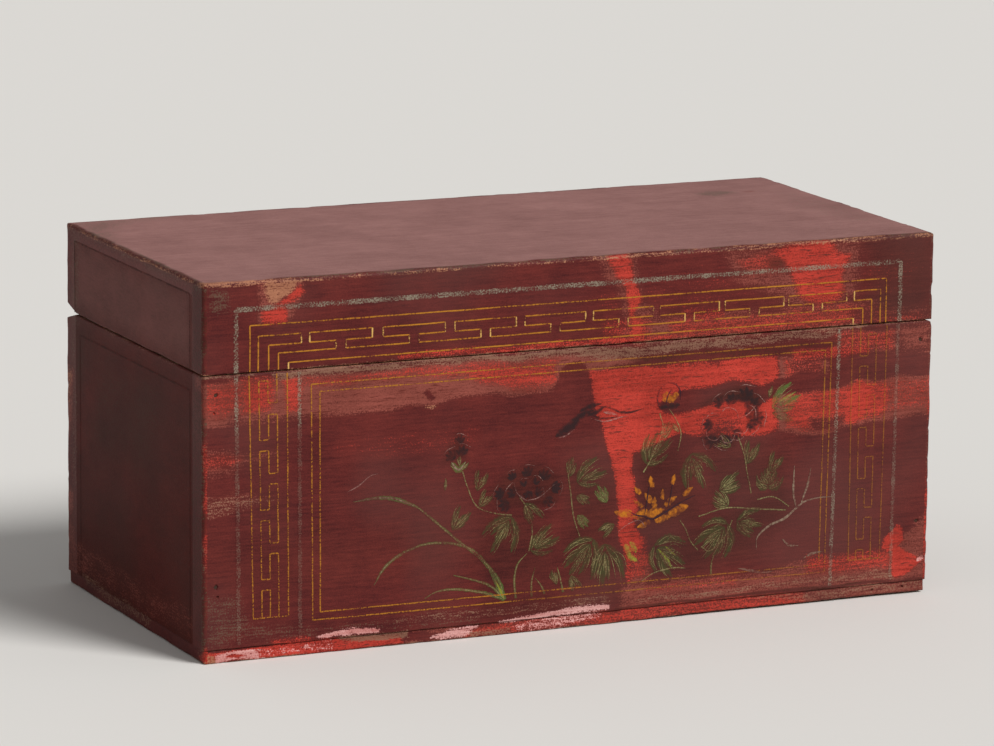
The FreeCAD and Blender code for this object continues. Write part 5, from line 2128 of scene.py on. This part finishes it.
def edge_rubs(low: np.ndarray, high: np.ndarray, rim: float, lid_rim: float) -> list[Rub]:
    """Wear along the edges of the chest.

    Args:
        low: the chest's lowest corner.
        high: its highest corner.
        rim: height of the box's rim.
        lid_rim: height of the lid's rim.

    Returns:
        The rubbed lines of all sides.
    """
    rubs = []
    for side in (Side.FRONT, Side.LEFT, Side.RIGHT, Side.BACK):
        front = side is Side.FRONT
        bare = 0.7 if front else 0.45
        across = 1 - side.axis
        lines = [
            (2, high[2], GRIME, 2.0, 0.7),
            (2, rim, BARE, 1.6, bare),
            (2, lid_rim, TAN, 0.8, 0.8 * bare),
            (2, low[2] + FLOOR_EDGE, SOOT, 0.7, 0.6),
            (2, low[2], BARE, 1.4, 0.7),
        ]
        for end in (low[across], high[across]):
            lines.append((across, end, GRIME, 1.6, 0.5 if front else 0.3))
            lines.append((across, end, RED, 0.8, 0.34))
        rubs += [Rub(side, *line) for line in lines]
    for axis, box in itertools.product((0, 1), (low, high)):
        for layer, width, strength in ((GRIME, 4.0, 0.42), (TAN, 1.2, 0.48)):
            rubs.append(Rub(Side.TOP, axis, box[axis], layer, width, strength))
    return rubs


@dataclass
class Studio:
    """A plain pale floor, soft light and the camera at the photograph's viewing angle."""

    camera_place: Triple = (-1328.9, -2887.0, 761.5)
    azimuth: float = -24.70
    pitch: float = 11.25
    roll: float = -0.54
    focal_px: float = 5512.4
    sensor: float = 36.0
    floor_reach: float = 30000.0
    floor_colour: str = "#e6e3de"
    floor_dull: float = 0.9
    key_way: Triple = (0.55, -0.95, 1.05)
    key_level: float = 0.88
    key_softness: float = 24.0
    sky: float = 0.30

    def lamp(self, name: str, way: Sequence[float], level: float, softness: float) -> None:
        """Hangs one far soft lamp.

        Args:
            name: name of the lamp.
            way: direction from the chest to the lamp.
            level: share of a plain white surface's brightness that it gives, faced straight on.
            softness: how wide the lamp looks from the chest, in degrees.
        """
        light = bpy.data.lights.new(name, "SUN")
        light.energy = math.pi * level
        light.angle = math.radians(softness)
        lamp = bpy.data.objects.new(name, light)
        lamp.location = Vector(way)
        lamp.rotation_euler = (-Vector(way)).to_track_quat("-Z", "Y").to_euler()
        bpy.context.scene.collection.objects.link(lamp)

    def floor(self) -> None:
        """Lays the floor that the chest stands on."""
        reach = self.floor_reach
        corners = [(-reach, -reach, 0), (reach, -reach, 0), (reach, reach, 0), (-reach, reach, 0)]
        floor = piece_of("studio_floor", mesh_of("studio_floor", np.array(corners, float), [(0, 1, 2, 3)]))
        material = bpy.data.materials.new("pale_studio_floor")
        material.use_nodes = True
        skin = material.node_tree.nodes["Principled BSDF"]
        skin.inputs["Base Color"].default_value = linear(self.floor_colour)
        skin.inputs["Roughness"].default_value = self.floor_dull
        floor.data.materials.append(material)

    def surroundings(self) -> None:
        """Makes the even light from all round."""
        world = bpy.data.worlds.new("studio")
        world.use_nodes = True
        light = world.node_tree.nodes["Background"]
        light.inputs["Color"].default_value = (1.0, 1.0, 1.0, 1.0)
        light.inputs["Strength"].default_value = self.sky
        bpy.context.scene.world = world

    def camera(self) -> None:
        """Sets the camera where the photograph was taken from."""
        turn, tilt, lean = (math.radians(angle) for angle in (self.azimuth, self.pitch, self.roll))
        ahead = Vector((-math.sin(turn) * math.cos(tilt), math.cos(turn) * math.cos(tilt), -math.sin(tilt)))
        level = Vector((math.cos(turn), math.sin(turn), 0))
        down = ahead.cross(level)
        right = level * math.cos(lean) + down * math.sin(lean)
        up = level * math.sin(lean) - down * math.cos(lean)
        lens = bpy.data.cameras.new("photograph")
        lens.sensor_fit = "HORIZONTAL"
        lens.sensor_width = self.sensor
        lens.lens = self.focal_px * self.sensor / PHOTO_WIDTH_PX
        camera = bpy.data.objects.new("photograph", lens)
        basis = Matrix((right, up, -ahead)).transposed()
        camera.matrix_world = Matrix.Translation(Vector(self.camera_place) * MM) @ basis.to_4x4()
        bpy.context.scene.collection.objects.link(camera)
        bpy.context.scene.camera = camera

    def build(self) -> None:
        """Sets up the floor, the light and the camera."""
        self.floor()
        self.surroundings()
        self.lamp("key", self.key_way, self.key_level, self.key_softness)
        self.camera()
        bpy.context.scene.view_settings.view_transform = "Standard"


def hinge_places() -> tuple[Vector, ...]:
    """Finds where the hinge eyes turn: the middle of each body eye, on the joint's own axis.

    Returns:
        The left and the right place, in millimetres.
    """
    joint = frame["joints"][0]
    axis_point = Vector(joint["pos_m"]) / MM
    places = []
    for name in ("left_body_eye", "right_body_eye"):
        low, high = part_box(name)
        places.append(Vector(((low.x + high.x) / 2 / MM, axis_point.y, axis_point.z)))
    return tuple(places)


def main() -> None:
    """Builds the chest's pieces in order."""
    logging.basicConfig(level=logging.INFO, format="%(name)s: %(message)s")
    low, high = (np.array(corner) / MM for corner in FRAME_BOX)
    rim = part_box("front_board")[1].z / MM
    lid_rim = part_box("lid_front_rail")[0].z / MM
    worn = {
        Side.FRONT: FRONT_WORN,
        Side.LEFT: LEFT_WORN,
        Side.RIGHT: RIGHT_WORN,
        Side.BACK: BACK_WORN,
        Side.TOP: TOP_WORN,
    }
    wear = WearMap(low, high, worn, edge_rubs(low, high, rim, lid_rim))
    hinges = hinge_places()
    ChestBody(hinges=hinges).build(wear)
    ChestLid(hinges=hinges).build(wear)
    FretBorder().build(wear)
    FlowerPanel().build(wear)
    SideFrames().build(wear)
    IronFittings().build()
    Studio().build()


if __name__ == "__main__":
    main()
